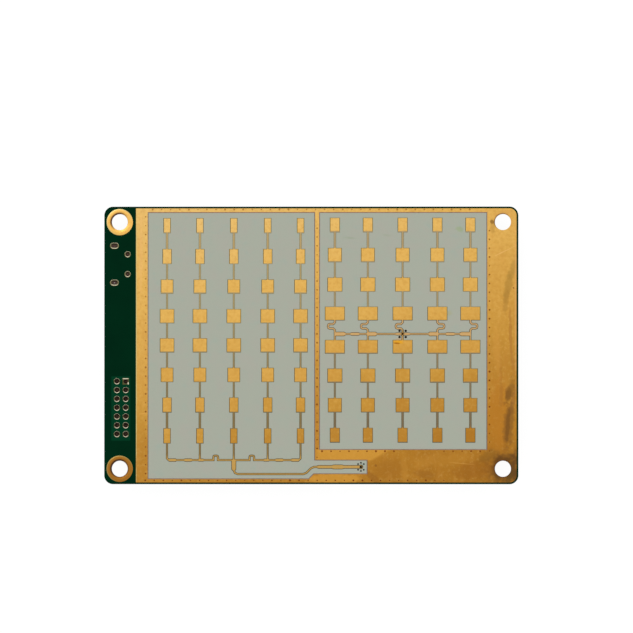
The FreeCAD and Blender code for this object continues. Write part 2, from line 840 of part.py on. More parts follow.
def bent(points, reach, round_corners=()):
    """Points of a line with its corners cut off, and those in round_corners made rounder."""
    path = [FreeCAD.Vector(x, y, 0) for x, y in points]
    line = [path[0]]
    for number in range(1, len(path) - 1):
        corner = path[number]
        into = (path[number - 1] - corner).normalize() * reach
        out = (path[number + 1] - corner).normalize() * reach
        line.append(corner + into)
        if number in round_corners:
            line.append(corner + (into + out) * BEND_MIDDLE)
        line.append(corner + out)
    line.append(path[-1])
    return [(point.x, point.y) for point in line]


def bar(y, stations):
    """Level line whose width changes at the stations (x, width)."""
    upper = [(x, y + width / 2) for x, width in stations]
    lower = [(x, y - width / 2) for x, width in reversed(stations)]
    return upper + lower


def mirrored(points, x):
    return [(2 * x - px, py) for px, py in points]


def copper_sheet(outlines):
    """One sheet of copper from overlapping flat outlines."""
    solids = []
    for corners in outlines:
        points = [FreeCAD.Vector(x, y, 0) for x, y in corners]
        face = Part.Face(Part.makePolygon(points + points[:1]))
        solids.append(face.extrude(FreeCAD.Vector(0, 0, size("copper_thickness"))))
    return solids[0].multiFuse(solids[1:]).removeSplitter()


def pierced(sheet_of_copper, x, y):
    across = size("feed_via") / 2
    turn = 2 * math.pi / SMALL_HOLE_SIDES
    corners = [
        FreeCAD.Vector(x + across * math.cos(turn * k), y + across * math.sin(turn * k), 0)
        for k in range(SMALL_HOLE_SIDES + 1)
    ]
    hole = Part.Face(Part.makePolygon(corners))
    return sheet_of_copper.cut(hole.extrude(FreeCAD.Vector(0, 0, size("copper_thickness"))))


def columns(side):
    x = size(LEFT_X if side == "left" else RIGHT_X)
    inner, outer = size(f"{side}_inner_pitch"), size(f"{side}_outer_pitch")
    return [x - inner - outer, x - inner, x, x + inner, x + inner + outer]


def field(side):
    """The patches of one field, and the straight lines that join them along each column."""
    centre = size(LEFT_Y if side == "left" else RIGHT_Y)
    rows = [
        (
            size("outer_row" if letter == "d" else f"{side}_row_{letter}"),
            size(f"{side}_width_{letter}"), size(f"{side}_length_{letter}"),
        )
        for letter in "abcd"
    ]
    outlines = []
    for x in columns(side):
        for way in (-1, 1):
            for height, width, length in rows:
                outlines.append(rectangle(x, centre + way * height, width, length))
            for (near, _, _), (far, _, _) in zip(rows[:2], rows[1:3]):
                middle = centre + way * (near + far) / 2
                outlines.append(rectangle(x, middle, size("line_width"), far - near))
            near, far = rows[2][0], rows[3][0]
            middle = centre + way * (near + far) / 2
            outlines.append(rectangle(x, middle, size("outer_line_width"), far - near))
    return outlines


def stepped(start, steps):
    """Stations of a level line from its table of steps."""
    return [(start + distance, size(width)) for distance, width in steps]


def bump(x, bus):
    """Round-topped bump of the left bus, and the line from it to the field's middle column."""
    near = x - size("bump_offset - bump_pitch/2")
    far = x - size("bump_offset + bump_pitch/2")
    top = bus + size("bump_rise")
    line = size("line_width")
    arch = bent(
        [(far, bus), (far, top), (near, top), (near, bus)], size("bump_bend"), round_corners=(1, 2)
    )
    return [trace(arch, line), trace([(near - line / 2, bus), (x, bus)], line)]


def trunk(x, bus):
    """Wide stem under the left bus, narrowing at both ends."""
    line, wide = size("line_width") / 2, size("left_trunk_width") / 2
    top, end = bus + line + size("trunk_shoulder"), bus - size("left_trunk_length")
    tip = end - size("trunk_taper")
    return [
        (x - line, top), (x - wide, bus - line), (x - wide, end), (x - line, tip),
        (x + line, tip), (x + wide, end), (x + wide, bus - line), (x + line, top),
    ]


def run_to_via(x, top):
    """Thin line from the trunk down, along the window and up into the channel."""
    run, channel = size(LEFT_RUN_Y), size(CHANNEL_Y)
    bend = top - size("line_overlap") - run
    start = size(LEFT_WINDOW_RIGHT) - size("run_end")
    begin = start + channel - run
    corner = bent([(x, top), (x, run), (start, run)], bend, round_corners=(1,))
    climb = bent([
        (x + bend, run), (start, run), (begin, channel),
        (begin + size("run_bend + line_overlap"), channel),
    ], size("run_bend"))
    line = trace(corner[:-1] + climb[1:], size("line_width"))
    feed = size(LEFT_FEED_X)
    channel_line = bar(
        channel, stepped(begin, CHANNEL_STEPS) + [(feed, size("channel_line_width"))]
    )
    return [line, channel_line, ring_outline(feed, channel)]


def left_feed_outlines():
    """Series feed under the left field: its bus, the matching bumps and the run to the via."""
    x, bus, line = size(LEFT_X), size(LEFT_BUS_Y), size("line_width")
    inner = x - size("left_inner_pitch")
    outer = inner - size("left_outer_pitch")
    bottom_row = size(f"{LEFT_Y} - outer_row")
    corner = size("bus_corner")
    bump_start = x - size("bump_offset + bump_pitch/2 - line_width/2")
    half = [
        trace([(outer, bottom_row), (outer, bus + corner), (outer + corner, bus),
               (outer + 2 * corner, bus)], line),
        bar(bus, stepped(outer, LEFT_BUS_OUTER_STEPS) + stepped(inner, LEFT_BUS_INNER_STEPS)
            + [(bump_start, line)]),
        trace([(inner, bottom_row), (inner, bus)], line),
        *bump(x, bus),
    ]
    outlines = half + [mirrored(points, x) for points in half]
    outlines += [trace([(x, bottom_row), (x, bus)], line), trunk(x, bus)]
    return outlines + run_to_via(x, bus - size("left_trunk_length"))


def ring_outline(x, y):
    """Round landing of a feed via."""
    radius = size("feed_pad") / 2
    turn = 2 * math.pi / SMALL_HOLE_SIDES
    return [
        (x + radius * math.cos(turn * k), y + radius * math.sin(turn * k))
        for k in range(SMALL_HOLE_SIDES)
    ]


def meander(x, way, patch_edge, bus):
    """Delay line from an upper patch to the bus, with one bulge to the left or right."""
    reach = x + way * size("meander_reach")
    top = bus + size("meander_top")
    bottom = bus + size("meander_bottom")
    return trace(bent([
        (x, patch_edge + size("line_overlap")), (x, top), (reach, top), (reach, bottom),
        (x, bottom), (x, bus),
    ], size("meander_bend"), round_corners=(2, 3)), size("meander_width"))


def right_feed_outlines():
    """Bus across the middle of the right field, fed from the via at its centre."""
    x, bus = size(RIGHT_X), size(RIGHT_BUS_Y)
    inner = x - size("right_inner_pitch")
    outer = inner - size("right_outer_pitch")
    trunk_start = x - size("right_trunk_reach")
    half = bar(
        bus, stepped(outer, RIGHT_BUS_OUTER_STEPS) + stepped(inner, RIGHT_BUS_INNER_STEPS)
        + [(trunk_start - size("right_trunk_taper"), size("line_width")),
           (trunk_start, size("right_trunk_width")), (x, size("right_trunk_width"))]
    )
    outlines = [half, mirrored(half, x), ring_outline(x, bus)]
    upper = size(f"{RIGHT_Y} + right_row_a - right_length_a/2")
    lower = size(f"{RIGHT_Y} - right_row_a + right_length_a/2 - line_overlap")
    for number, column in enumerate(columns("right")):
        way = -1 if number < 3 else 1
        outlines.append(meander(column, way, upper, bus))
        outlines.append(trace([(column, lower), (column, bus)], size("line_width")))
    return outlines


def make_patch_arrays():
    left = field("left")
    line = size("line_width")
    for x in columns("left"):
        left.append(rectangle(x, size(LEFT_Y), line, size("2*left_row_a")))
    left += left_feed_outlines()
    shapes = {
        "left_patch_array": pierced(copper_sheet(left), size(LEFT_FEED_X), size(CHANNEL_Y)),
        "right_patch_array": pierced(
            copper_sheet(field("right") + right_feed_outlines()), size(RIGHT_X), size(RIGHT_BUS_Y)
        ),
    }
    for name, shape in shapes.items():
        feature = doc.addObject("Part::Feature", name)
        feature.Shape = shape
        feature.Placement = FreeCAD.Placement(
            FreeCAD.Vector(0, 0, size(LAMINATE_FACE)), FreeCAD.Rotation()
        )
        node(feature, name)


# Host header: a socket on the rear face with tails that end inside the plated holes

def header_steps():
    return [
        ("Y_Axis", "header_pitch*(header_rows - 1)", "header_rows"),
        ("X_Axis", "header_pitch", "header_columns"),
    ]


def make_header():
    contacts = new_body("header_contact_rows")
    profile = new_sketch(
        contacts, "contact_profile", "header_pitch*(header_rows - 1)/2", "XZ_Plane"
    )
    half = "contact_size/2"
    draw_polygon(profile, [
        (f"-header_pitch/2 - {half}", "contact_tail"),
        (f"-header_pitch/2 + {half}", "contact_tail"),
        (f"-header_pitch/2 + {half}", "-socket_well_floor"),
        ("-header_pitch/2 - socket_well/2 + contact_leaf", "-socket_well_floor"),
        ("-header_pitch/2 - socket_well/2 + contact_leaf", "contact_leaf_setback - socket_height"),
        ("-header_pitch/2 - socket_well/2", "contact_leaf_setback - socket_height"),
        ("-header_pitch/2 - socket_well/2", "contact_leaf - socket_well_floor"),
        (f"-header_pitch/2 - {half}", "contact_leaf - socket_well_floor"),
    ])
    blade = pad(contacts, profile, "contact_size", midplane=True)
    repeat(contacts, blade, header_steps(), "contact_rows")
    at(contacts, HEADER_X, HEADER_Y, "0")
    node(contacts, "header_contacts")

    housing = new_body("socket_housing")
    outline = new_sketch(housing, "socket_outline")
    draw_rectangle(
        outline, "-socket_width/2", f"-{HEADER_LENGTH}/2", "socket_width/2", f"{HEADER_LENGTH}/2"
    )
    pad(housing, outline, "socket_height", away=True)
    well = new_sketch(housing, "socket_well_outline", "-socket_height")
    draw_rectangle(
        well,
        "-header_pitch/2 - socket_well/2",
        "-header_pitch*(header_rows - 1)/2 - socket_well/2",
        "-header_pitch/2 + socket_well/2",
        "-header_pitch*(header_rows - 1)/2 + socket_well/2",
    )
    wells = pocket(housing, well, "socket_height - socket_well_floor")
    repeat(housing, wells, header_steps(), "socket_wells")
    at(housing, HEADER_X, HEADER_Y, "0")
    return node(cut("socket", housing, contacts), "header_socket")


# Service port: folded shell with four legs, insulator with its tongue, and the contacts

def port_profile(sketch, inset):
    half = f"port_width/2 - {inset}"
    draw_polygon(sketch, [
        (f"-({half})", f"-({inset})"),
        (half, f"-({inset})"),
        (half, "-port_height + port_corner_side"),
        (f"{half} - port_corner_foot", f"-port_height + {inset}"),
        (f"-({half} - port_corner_foot)", f"-port_height + {inset}"),
        (f"-({half})", "-port_height + port_corner_side"),
    ])


def make_port():
    tube = new_body("port_tube")
    outer = new_sketch(tube, "port_outer", "0", "YZ_Plane")
    port_profile(outer, "0")
    pad(tube, outer, "port_depth")
    inner = new_sketch(tube, "port_inner", "0", "YZ_Plane")
    port_profile(inner, "port_wall")
    pocket(tube, inner)
    at(tube, BOARD_LEFT, PORT_Y, "0")
    legs = []
    for side in (-1, 1):
        y = f"{PORT_Y} + {side}*port_slot_spacing/2"
        legs.append(centred_box(
            f"port_leg_{side + 1}", PORT_SLOT_X, y, "-port_wall",
            "port_leg_width", "port_leg_thickness", "port_leg_reach + port_wall",
        ))
        reach = "(port_slot_spacing - port_width)/2"
        legs.append(centred_box(
            f"port_tab_{side + 1}", PORT_SLOT_X,
            f"{PORT_Y} + {side}*(port_width/2 + {reach}/2)", "-port_wall",
            "port_leg_width", reach, "port_wall",
        ))
        legs.append(centred_box(
            f"port_rear_leg_{side + 1}", PORT_ROUND_X,
            f"{PORT_Y} + {side}*port_round_spacing/2", "-port_wall",
            "port_rear_leg_width", "port_leg_thickness", "port_leg_reach + port_wall",
        ))
    node(fuse("port_case", [tube] + legs), "port_shell")

    contacts = new_body("port_contact_row")
    profile = new_sketch(
        contacts, "port_contact_profile", "port_contact_pitch*(port_contact_count - 1)/2",
        "XZ_Plane",
    )
    seat = "(-port_tongue_drop - port_tongue_thickness)"
    front = "(port_depth - port_block_depth - port_tongue_length + port_wall)"
    back = "(port_depth + port_contact_thickness)"
    draw_polygon(profile, [
        (front, f"{seat} - port_contact_thickness"),
        (back, f"{seat} - port_contact_thickness"),
        (back, "-port_contact_thickness"),
        (f"{back} + port_contact_tail", "-port_contact_thickness"),
        (f"{back} + port_contact_tail", "0"),
        ("port_depth", "0"),
        ("port_depth", seat),
        (front, seat),
    ])
    strip = pad(contacts, profile, "port_contact_width", midplane=True)
    repeat(contacts, strip, [
        ("Y_Axis", "port_contact_pitch*(port_contact_count - 1)", "port_contact_count")
    ], "port_contact_strips")
    at(contacts, BOARD_LEFT, PORT_Y, "0")
    node(contacts, "port_contacts")

    block = new_body("port_block")
    rear = new_sketch(block, "port_block_outline", "port_depth - port_block_depth", "YZ_Plane")
    port_profile(rear, "port_wall")
    pad(block, rear, "port_block_depth")
    at(block, BOARD_LEFT, PORT_Y, "0")
    tongue = box(
        "port_tongue", f"{BOARD_LEFT} + port_depth - port_block_depth - port_tongue_length",
        f"{PORT_Y} - port_tongue_width/2", "-port_tongue_drop - port_tongue_thickness",
        "port_tongue_length", "port_tongue_width", "port_tongue_thickness",
    )
    insulator = fuse("port_insert", [block, tongue])
    node(cut("port_insulated", insulator, contacts), "port_insulator")


# Shield over the microwave circuit: a soldered frame and a lid that clips over it

def make_shield():
    frame = new_body("shield_fence")
    outline = new_sketch(frame, "shield_outline")
    draw_rectangle(outline, SHIELD_LEFT, SHIELD_BOTTOM, SHIELD_RIGHT, SHIELD_TOP)
    pad(frame, outline, "shield_height", away=True)
    hollow = new_sketch(frame, "shield_hollow")
    draw_rectangle(
        hollow, f"{SHIELD_LEFT} + shield_wall", f"{SHIELD_BOTTOM} + shield_wall",
        f"{SHIELD_RIGHT} - shield_wall", f"{SHIELD_TOP} - shield_wall",
    )
    pocket(frame, hollow, "shield_height - shield_wall", upward=False)
    openings = new_sketch(frame, "shield_openings")
    middle = f"(({SHIELD_BOTTOM} + {SHIELD_TOP})/2)"
    inset = "(shield_wall + shield_flange)"
    draw_rectangle(
        openings, f"{SHIELD_LEFT} + {inset}", f"{SHIELD_BOTTOM} + {inset}",
        f"{SHIELD_RIGHT} - {inset}", f"{middle} - shield_bar/2",
    )
    draw_rectangle(
        openings, f"{SHIELD_LEFT} + {inset}", f"{middle} + shield_bar/2",
        f"{SHIELD_RIGHT} - {inset}", f"{SHIELD_TOP} - {inset}",
    )
    pocket(frame, openings, upward=False)
    node(frame, "shield_frame")

    lid = new_body("shield_cap")
    gap = "lid_clearance"
    cap = new_sketch(lid, "lid_outline", "-shield_height - lid_sheet")
    draw_rectangle(
        cap, f"{SHIELD_LEFT} - {gap} - lid_sheet", f"{SHIELD_BOTTOM} - {gap} - lid_sheet",
        f"{SHIELD_RIGHT} + {gap} + lid_sheet", f"{SHIELD_TOP} + {gap} + lid_sheet",
    )
    slab = pad(lid, cap, "lid_sheet + lid_skirt")
    doc.recompute()
    round_upright_edges(lid, slab, "2*lid_sheet", lambda x, y: True)
    inside = new_sketch(lid, "lid_inside", "-shield_height")
    draw_rectangle(
        inside, f"{SHIELD_LEFT} - {gap}", f"{SHIELD_BOTTOM} - {gap}",
        f"{SHIELD_RIGHT} + {gap}", f"{SHIELD_TOP} + {gap}",
    )
    pocket(lid, inside)
    node(lid, "shield_lid")


# Chips inside the shield

def make_shielded_chips():
    for name, label, x, length, width, height in (
        ("transceiver", "radar_transceiver", TRANSCEIVER_X, "transceiver_length",
         "transceiver_width", "flat_chip_height"),
        ("synthesizer", "ramp_synthesizer", SYNTHESIZER_X, "synthesizer_side",
         "synthesizer_side", "flat_chip_height"),
        ("oscillator", "reference_oscillator", OSCILLATOR_X, "oscillator_length",
         "oscillator_width", "oscillator_height"),
    ):
        y = f"{SHIELD_BOTTOM} + {name}_up"
        node(centred_box(f"{name}_chip", x, y, f"-{height}", length, width, height), label)


# Leaded packages: a moulded body and rows of formed leads

def leads(name, prefix, x, y, sides):
    """Formed leads of one package, repeated along its sides."""
    body = new_body(name)
    row = f"{prefix}_pitch*({prefix}_side_leads - 1)"
    profile = new_sketch(body, f"{name}_profile", f"{row}/2", "XZ_Plane")
    end = f"{prefix}_span/2"
    lower = f"({prefix}_height/2 + lead_thickness/2)"
    upper = f"({prefix}_height/2 - lead_thickness/2)"

    def flank(depth):
        slope = f"body_taper/({prefix}_height - standoff)"
        return f"{prefix}_body/2 - {slope}*({depth} - standoff)"

    draw_polygon(profile, [
        (flank(lower), f"-{lower}"),
        (f"{end} - lead_foot", "-lead_thickness"),
        (end, "-lead_thickness"),
        (end, "0"),
        (f"{end} - lead_foot - lead_thickness", "0"),
        (flank(upper), f"-{upper}"),
    ])
    one = pad(body, profile, f"{prefix}_lead_width", midplane=True)
    steps = [("Y_Axis", row, f"{prefix}_side_leads")]
    if sides > 1:
        steps.append(("turns", None, str(sides)))
    repeat(body, one, steps, f"{name}_rows")
    return at(body, x, y, "0")


def make_processor():
    node(moulded_block(
        "processor_block", PROCESSOR_X, PROCESSOR_Y, "processor_body", "processor_body",
        "processor_height",
    ), "signal_processor")
    node(
        leads("processor_lead_rows", "processor", PROCESSOR_X, PROCESSOR_Y, 4), "processor_leads"
    )
    node(centred_box(
        "crystal_can", PROCESSOR_X, CRYSTAL_Y, "-crystal_height", "crystal_length",
        "crystal_width", "crystal_height",
    ), "processor_crystal")


def make_amplifiers():
    for number in (1, 2):
        y = f"{AMPLIFIER_Y} - {number - 1}*amplifier_step"
        node(moulded_block(
            f"amplifier_block_{number}", AMPLIFIER_X, y, "amplifier_body", "amplifier_length",
            "amplifier_height",
        ), f"baseband_amplifier_{number}")
        node(
            leads(f"amplifier_rows_{number}", "amplifier", AMPLIFIER_X, y, 2),
            f"amplifier_leads_{number}",
        )


def make_flash_memory():
    node(moulded_block(
        "flash_block", FLASH_X, FLASH_Y, "flash_body", "flash_length", "flash_height"
    ), "flash_memory")
    node(leads("flash_rows", "flash", FLASH_X, FLASH_Y, 2), "flash_leads")


def make_regulators():
    for number in (1, 2):
        x = f"{REGULATOR_X} + {number - 1}*regulator_step"
        name = f"regulator_{number}"
        node(moulded_block(
            f"{name}_block", x, REGULATOR_Y, "regulator_body", "regulator_length",
            "regulator_height",
        ), f"voltage_{name}")
        row = leads(f"{name}_row", "regulator", x, REGULATOR_Y, 1)
        tab = box(
            f"{name}_tab", f"{x} - regulator_span/2", f"{REGULATOR_Y} - regulator_tab/2",
            "-lead_thickness", "(regulator_span - regulator_body)/2", "regulator_tab",
            "lead_thickness",
        )
        feature = doc.addObject("Part::Compound", f"{name}_metal")
        feature.Links = [row, tab]
        node(feature, f"{name}_leads")
        make_tantalum(number, x)


def make_tantalum(number, x):
    name = f"tantalum_{number}"
    node(moulded_block(
        f"{name}_block", x, TANTALUM_Y, "tantalum_length - 2*tantalum_terminal",
        "tantalum_width", "tantalum_height",
    ), f"{name}_capacitor")
    ends = doc.addObject("Part::Compound", f"{name}_metal")
    ends.Links = [
        centred_box(
            f"{name}_end_{side + 1}",
            f"{x} + {side}*(tantalum_length - tantalum_terminal)/2", TANTALUM_Y,
            "-tantalum_height/2", "tantalum_terminal", "tantalum_width*2/3", "tantalum_height/2",
        )
        for side in (-1, 1)
    ]
    node(ends, f"{name}_terminals")


def make_port_chips():
    x = f"{BOARD_LEFT} + surge_right"
    node(moulded_block(
        "surge_block", x, PORT_Y, "surge_body", "surge_length", "surge_height"
    ), "surge_protector")
    node(leads("surge_rows", "surge", x, PORT_Y, 2), "surge_protector_leads")
    node(centred_box(
        "bridge_block", f"{BOARD_LEFT} + bridge_right", PORT_Y, "-flat_chip_height",
        "bridge_side", "bridge_side", "flat_chip_height",
    ), "serial_bridge_chip")


def make_inductor():
    x = f"({BOARD_LEFT} + inductor_right)"
    body = new_body("inductor_block")
    outline = new_sketch(body, "inductor_outline", "-inductor_terminal_thickness")
    half = "inductor_side/2"
    draw_rectangle(outline, f"-{half}", f"-{half}", half, half)
    block = pad(body, outline, "inductor_height - inductor_terminal_thickness", away=True)
    doc.recompute()
    round_upright_edges(body, block, "inductor_corner", lambda x, y: True)
    at(body, x, INDUCTOR_Y, "0")
    node(body, "power_inductor")
    ends = doc.addObject("Part::Compound", "inductor_metal")
    ends.Links = [
        centred_box(
            f"inductor_end_{side + 1}",
            f"{x} + {side}*(inductor_side - inductor_terminal)/2", INDUCTOR_Y,
            "-inductor_terminal_thickness", "inductor_terminal", "inductor_side*2/3",
            "inductor_terminal_thickness",
        )
        for side in (-1, 1)
    ]
    node(ends, "inductor_terminals")


# Chip capacitors and resistors in rows beside the chips that they serve

def chip_rows():
    """Rows of chips: kind, middle of the row, count, step along X and Y, whether chips lie on X."""
    left, shield_y = size(BOARD_LEFT), size(SHIELD_BOTTOM)
    step, wide, gap = size("chip_pitch"), size("chip_wide_pitch"), size("chip_row_gap")
    processor, rise = size(PROCESSOR_X), size(PROCESSOR_Y)
    reach = size("processor_span/2") + gap
    amplifier = size(AMPLIFIER_X)
    below = size(f"{AMPLIFIER_Y} - amplifier_length/2") - gap
    regulator = size(f"{REGULATOR_X} - regulator_chip_reach")
    bridge = left + size("bridge_right + bridge_chip_reach")
    inductor = left + size("inductor_right + inductor_chip_reach")
    transceiver = size(TRANSCEIVER_X)
    above = shield_y + size("transceiver_up + transceiver_width/2 + shielded_row_gap")
    synthesizer = size(SYNTHESIZER_X)
    under_synthesizer = shield_y + size("synthesizer_up - synthesizer_side/2 - shielded_row_gap")
    oscillator = size(OSCILLATOR_X)
    under_oscillator = shield_y + size("oscillator_up - oscillator_width/2 - shielded_row_gap")
    return [
        ("capacitor", processor - reach, rise, 3, 0, step, False),
        ("capacitor", processor + reach, rise, 3, 0, step, False),
        ("resistor", processor, rise - reach, 3, step, 0, False),
        ("capacitor", processor, size(CRYSTAL_Y), 2, size("crystal_chip_spacing"), 0, False),
        ("resistor", amplifier, below, 3, step, 0, False),
        ("capacitor", amplifier, below - size("amplifier_step"), 3, step, 0, False),
        ("capacitor", regulator, size(REGULATOR_Y), 2, 0, step, True),
        ("resistor", bridge, size(PORT_Y), 2, 0, step, True),
        ("capacitor", inductor, size(INDUCTOR_Y), 2, 0, step, True),
        ("capacitor", transceiver, above, 2, wide, 0, True),
        ("capacitor", synthesizer, under_synthesizer, 3, wide, 0, True),
        ("resistor", oscillator, under_oscillator, 2, wide, 0, True),
    ]


def chip_solids(x, y, along_x, height):
    """Ceramic middle and two plated ends of one chip."""
    length, width, end = size("chip_length"), size("chip_width"), size("chip_end")
    blocks = []
    for start, run in ((end, length - 2 * end), (0, end), (length - end, end)):
        low = start - length / 2
        if along_x:
            corner, spans = (x + low, y - width / 2), (run, width)
        else:
            corner, spans = (x - width / 2, y + low), (width, run)
        blocks.append(Part.makeBox(
            spans[0], spans[1], height, FreeCAD.Vector(corner[0], corner[1], -height)
        ))
    return blocks[0], blocks[1:]


def make_chips():
    solids = {"chip_capacitors": [], "chip_resistors": [], "chip_terminals": []}
    for kind, x, y, count, step_x, step_y, along_x in chip_rows():
        height = size(f"{kind}_height")
        for number in range(count):
            place = number - (count - 1) / 2
            middle, ends = chip_solids(x + place * step_x, y + place * step_y, along_x, height)
            solids[f"chip_{kind}s"].append(middle)
            solids["chip_terminals"] += ends
    for name, parts in solids.items():
        feature = doc.addObject("Part::Feature", name)
        feature.Shape = Part.makeCompound(parts)
        node(feature, name)


make_circuit_board()
make_ground_copper()
make_front_mask()
make_mounting_plating()
make_header_plating()
make_port_plating()
make_feed_vias()
make_patch_arrays()
make_header()
make_port()
make_shield()
make_shielded_chips()
make_processor()
make_amplifiers()
make_flash_memory()
make_regulators()
make_port_chips()
make_inductor()
make_chips()
doc.recompute()

for item in doc.Objects:
    if "Invalid" in item.State or "Error" in item.State:
        raise RuntimeError(f"{item.Name} failed: {item.State}")
for item in nodes:
    if item.Shape.isNull() or not item.Shape.isValid():
        raise RuntimeError(f"{item.Label} has no valid shape")

os.makedirs("parts", exist_ok=True)
for item in nodes:
    item.Shape.exportStep(f"parts/{item.Label}.step")
    print(f"{item.Label}: {len(item.Shape.Solids)} solids, {item.Shape.Volume:.3f} mm3")
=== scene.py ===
import json
import math
import random

import bmesh
import bpy
from mathutils import Matrix, Vector


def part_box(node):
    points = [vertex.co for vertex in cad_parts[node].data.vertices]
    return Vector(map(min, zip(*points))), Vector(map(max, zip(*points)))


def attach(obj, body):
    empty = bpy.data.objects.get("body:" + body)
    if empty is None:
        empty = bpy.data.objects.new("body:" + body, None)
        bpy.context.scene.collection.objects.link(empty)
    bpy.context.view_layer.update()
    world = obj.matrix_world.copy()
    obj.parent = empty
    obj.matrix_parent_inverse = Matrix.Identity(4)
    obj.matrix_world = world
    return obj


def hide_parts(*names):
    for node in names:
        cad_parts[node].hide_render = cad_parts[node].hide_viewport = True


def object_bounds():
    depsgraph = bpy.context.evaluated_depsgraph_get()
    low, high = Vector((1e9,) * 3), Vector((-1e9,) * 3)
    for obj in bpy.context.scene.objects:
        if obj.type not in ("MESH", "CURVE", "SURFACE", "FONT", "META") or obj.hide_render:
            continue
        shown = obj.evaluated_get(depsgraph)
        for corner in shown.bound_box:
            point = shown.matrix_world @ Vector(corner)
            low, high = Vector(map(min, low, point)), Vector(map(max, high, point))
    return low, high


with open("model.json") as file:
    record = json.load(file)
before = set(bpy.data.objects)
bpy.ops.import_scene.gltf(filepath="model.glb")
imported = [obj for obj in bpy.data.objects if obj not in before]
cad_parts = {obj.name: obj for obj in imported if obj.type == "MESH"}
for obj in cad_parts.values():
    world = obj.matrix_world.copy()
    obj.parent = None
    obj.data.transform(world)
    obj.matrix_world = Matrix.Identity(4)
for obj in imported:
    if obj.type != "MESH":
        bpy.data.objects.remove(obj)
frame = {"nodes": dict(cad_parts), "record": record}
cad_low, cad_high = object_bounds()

# Pieces are built in millimetres and scaled to metres when their mesh is finished
MM = 0.001

# Corners and heights closer than this count as the same, in metres
WELD = 1e-7
LEVEL = 1e-6

# Radius of the tip of a turned surface
POINT = 0.0001

SLOT_OF = {part["node"]: part["material_slot"] for part in frame["record"]["subparts"]}

# Heights and outlines that the solids give
BOARD_RIGHT, BOARD_TOP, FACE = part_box("circuit_board")[1] / MM
COPPER_LEFT = (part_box("ground_copper")[0] / MM).x
COPPER_RIGHT, COPPER_HIGH, COPPER_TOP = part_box("ground_copper")[1] / MM
MASK_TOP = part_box("front_solder_mask")[1].z / MM
BOARD_CORNER = 2
RIM = BOARD_RIGHT - COPPER_RIGHT

# Windows in the copper
LEFT_WINDOW = (-37.1, 0.84)
RIGHT_WINDOW = (1.84, 39.91)
WINDOW_TOP = 30.22
LEFT_WINDOW_BOTTOM = -30.33
RIGHT_WINDOW_BOTTOM = -23.68
CHANNEL = (12.74, -29.18, -25.98)
CHANNEL_CHAMFER = 1.15
CHAMFER_INSET = 0.25

# Rows of patches: the height of each centre above the field's middle, and the patch length
LEFT_ROWS = (3.32, [(3.32, 3.1), (10.02, 3.12), (16.87, 3.28), (23.86, 3.3)])
RIGHT_ROWS = (3.46, [(3.78, 3), (10.33, 3.1), (17.04, 3.12), (23.86, 3.22)])

# Holes
MASK_MOUNTS = [(-43.5, -28), (-43.5, 28)]
COPPER_MOUNTS = [(43.5, -28), (43.5, 28)]
MOUNTS = MASK_MOUNTS + COPPER_MOUNTS
MOUNT_BORE = 1.83
MOUNT_WALL = 1.95
MOUNT_RING = 2.98
PLATING = 0.05
MASK_CLEARANCE = 0.005
HEADER_HOLES = [(x, -14.17 + 2 * row) for x in (-44.13, -42.13) for row in range(3, -4, -1)]
FIRST_HOLE = HEADER_HOLES.pop(7)  # has a square pad
HEADER_BORE = 0.52
HEADER_RING = 0.71
PORT_SLOTS = [(-44.7, 18.4 - 4.19), (-44.7, 18.4 + 4.19)]
PORT_SLOT = (1.45, 0.85)
PORT_SLOT_RIM = 0.28
PORT_ROUNDS = [(-41.7, 18.4 - 2.25), (-41.7, 18.4 + 2.25)]
PORT_ROUND_BORE = 0.46
PORT_ROUND_RING = 0.715
LEFT_FEED = (11.29, -27.58)
RIGHT_FEED = (20.75, 2.59)
FEED_BORE = 0.25
FEED_WALL = 0.3

# How far the etched foot of the copper lies inside and outside its outline; the foot carries
# painted light and shade along the copper's edges
ETCH_INSIDE = 0.045
ETCH_AND_SHADE_PATCHES = 0.085
ETCH_AND_SHADE_WINDOWS = 0.15

# Heights of pads and covered lines on the rear, and the limit of a foot there
PAD_LOW = -0.03
TRACE_LOW = -0.02
FOOT_LOW = -0.02


# Colours are written as they look on a screen, 0 to 255

def linear(colour):
    def one(value):
        value /= 255
        return value / 12.92 if value <= 0.04045 else ((value + 0.055) / 1.055) ** 2.4
    return (*(one(value) for value in colour), 1)


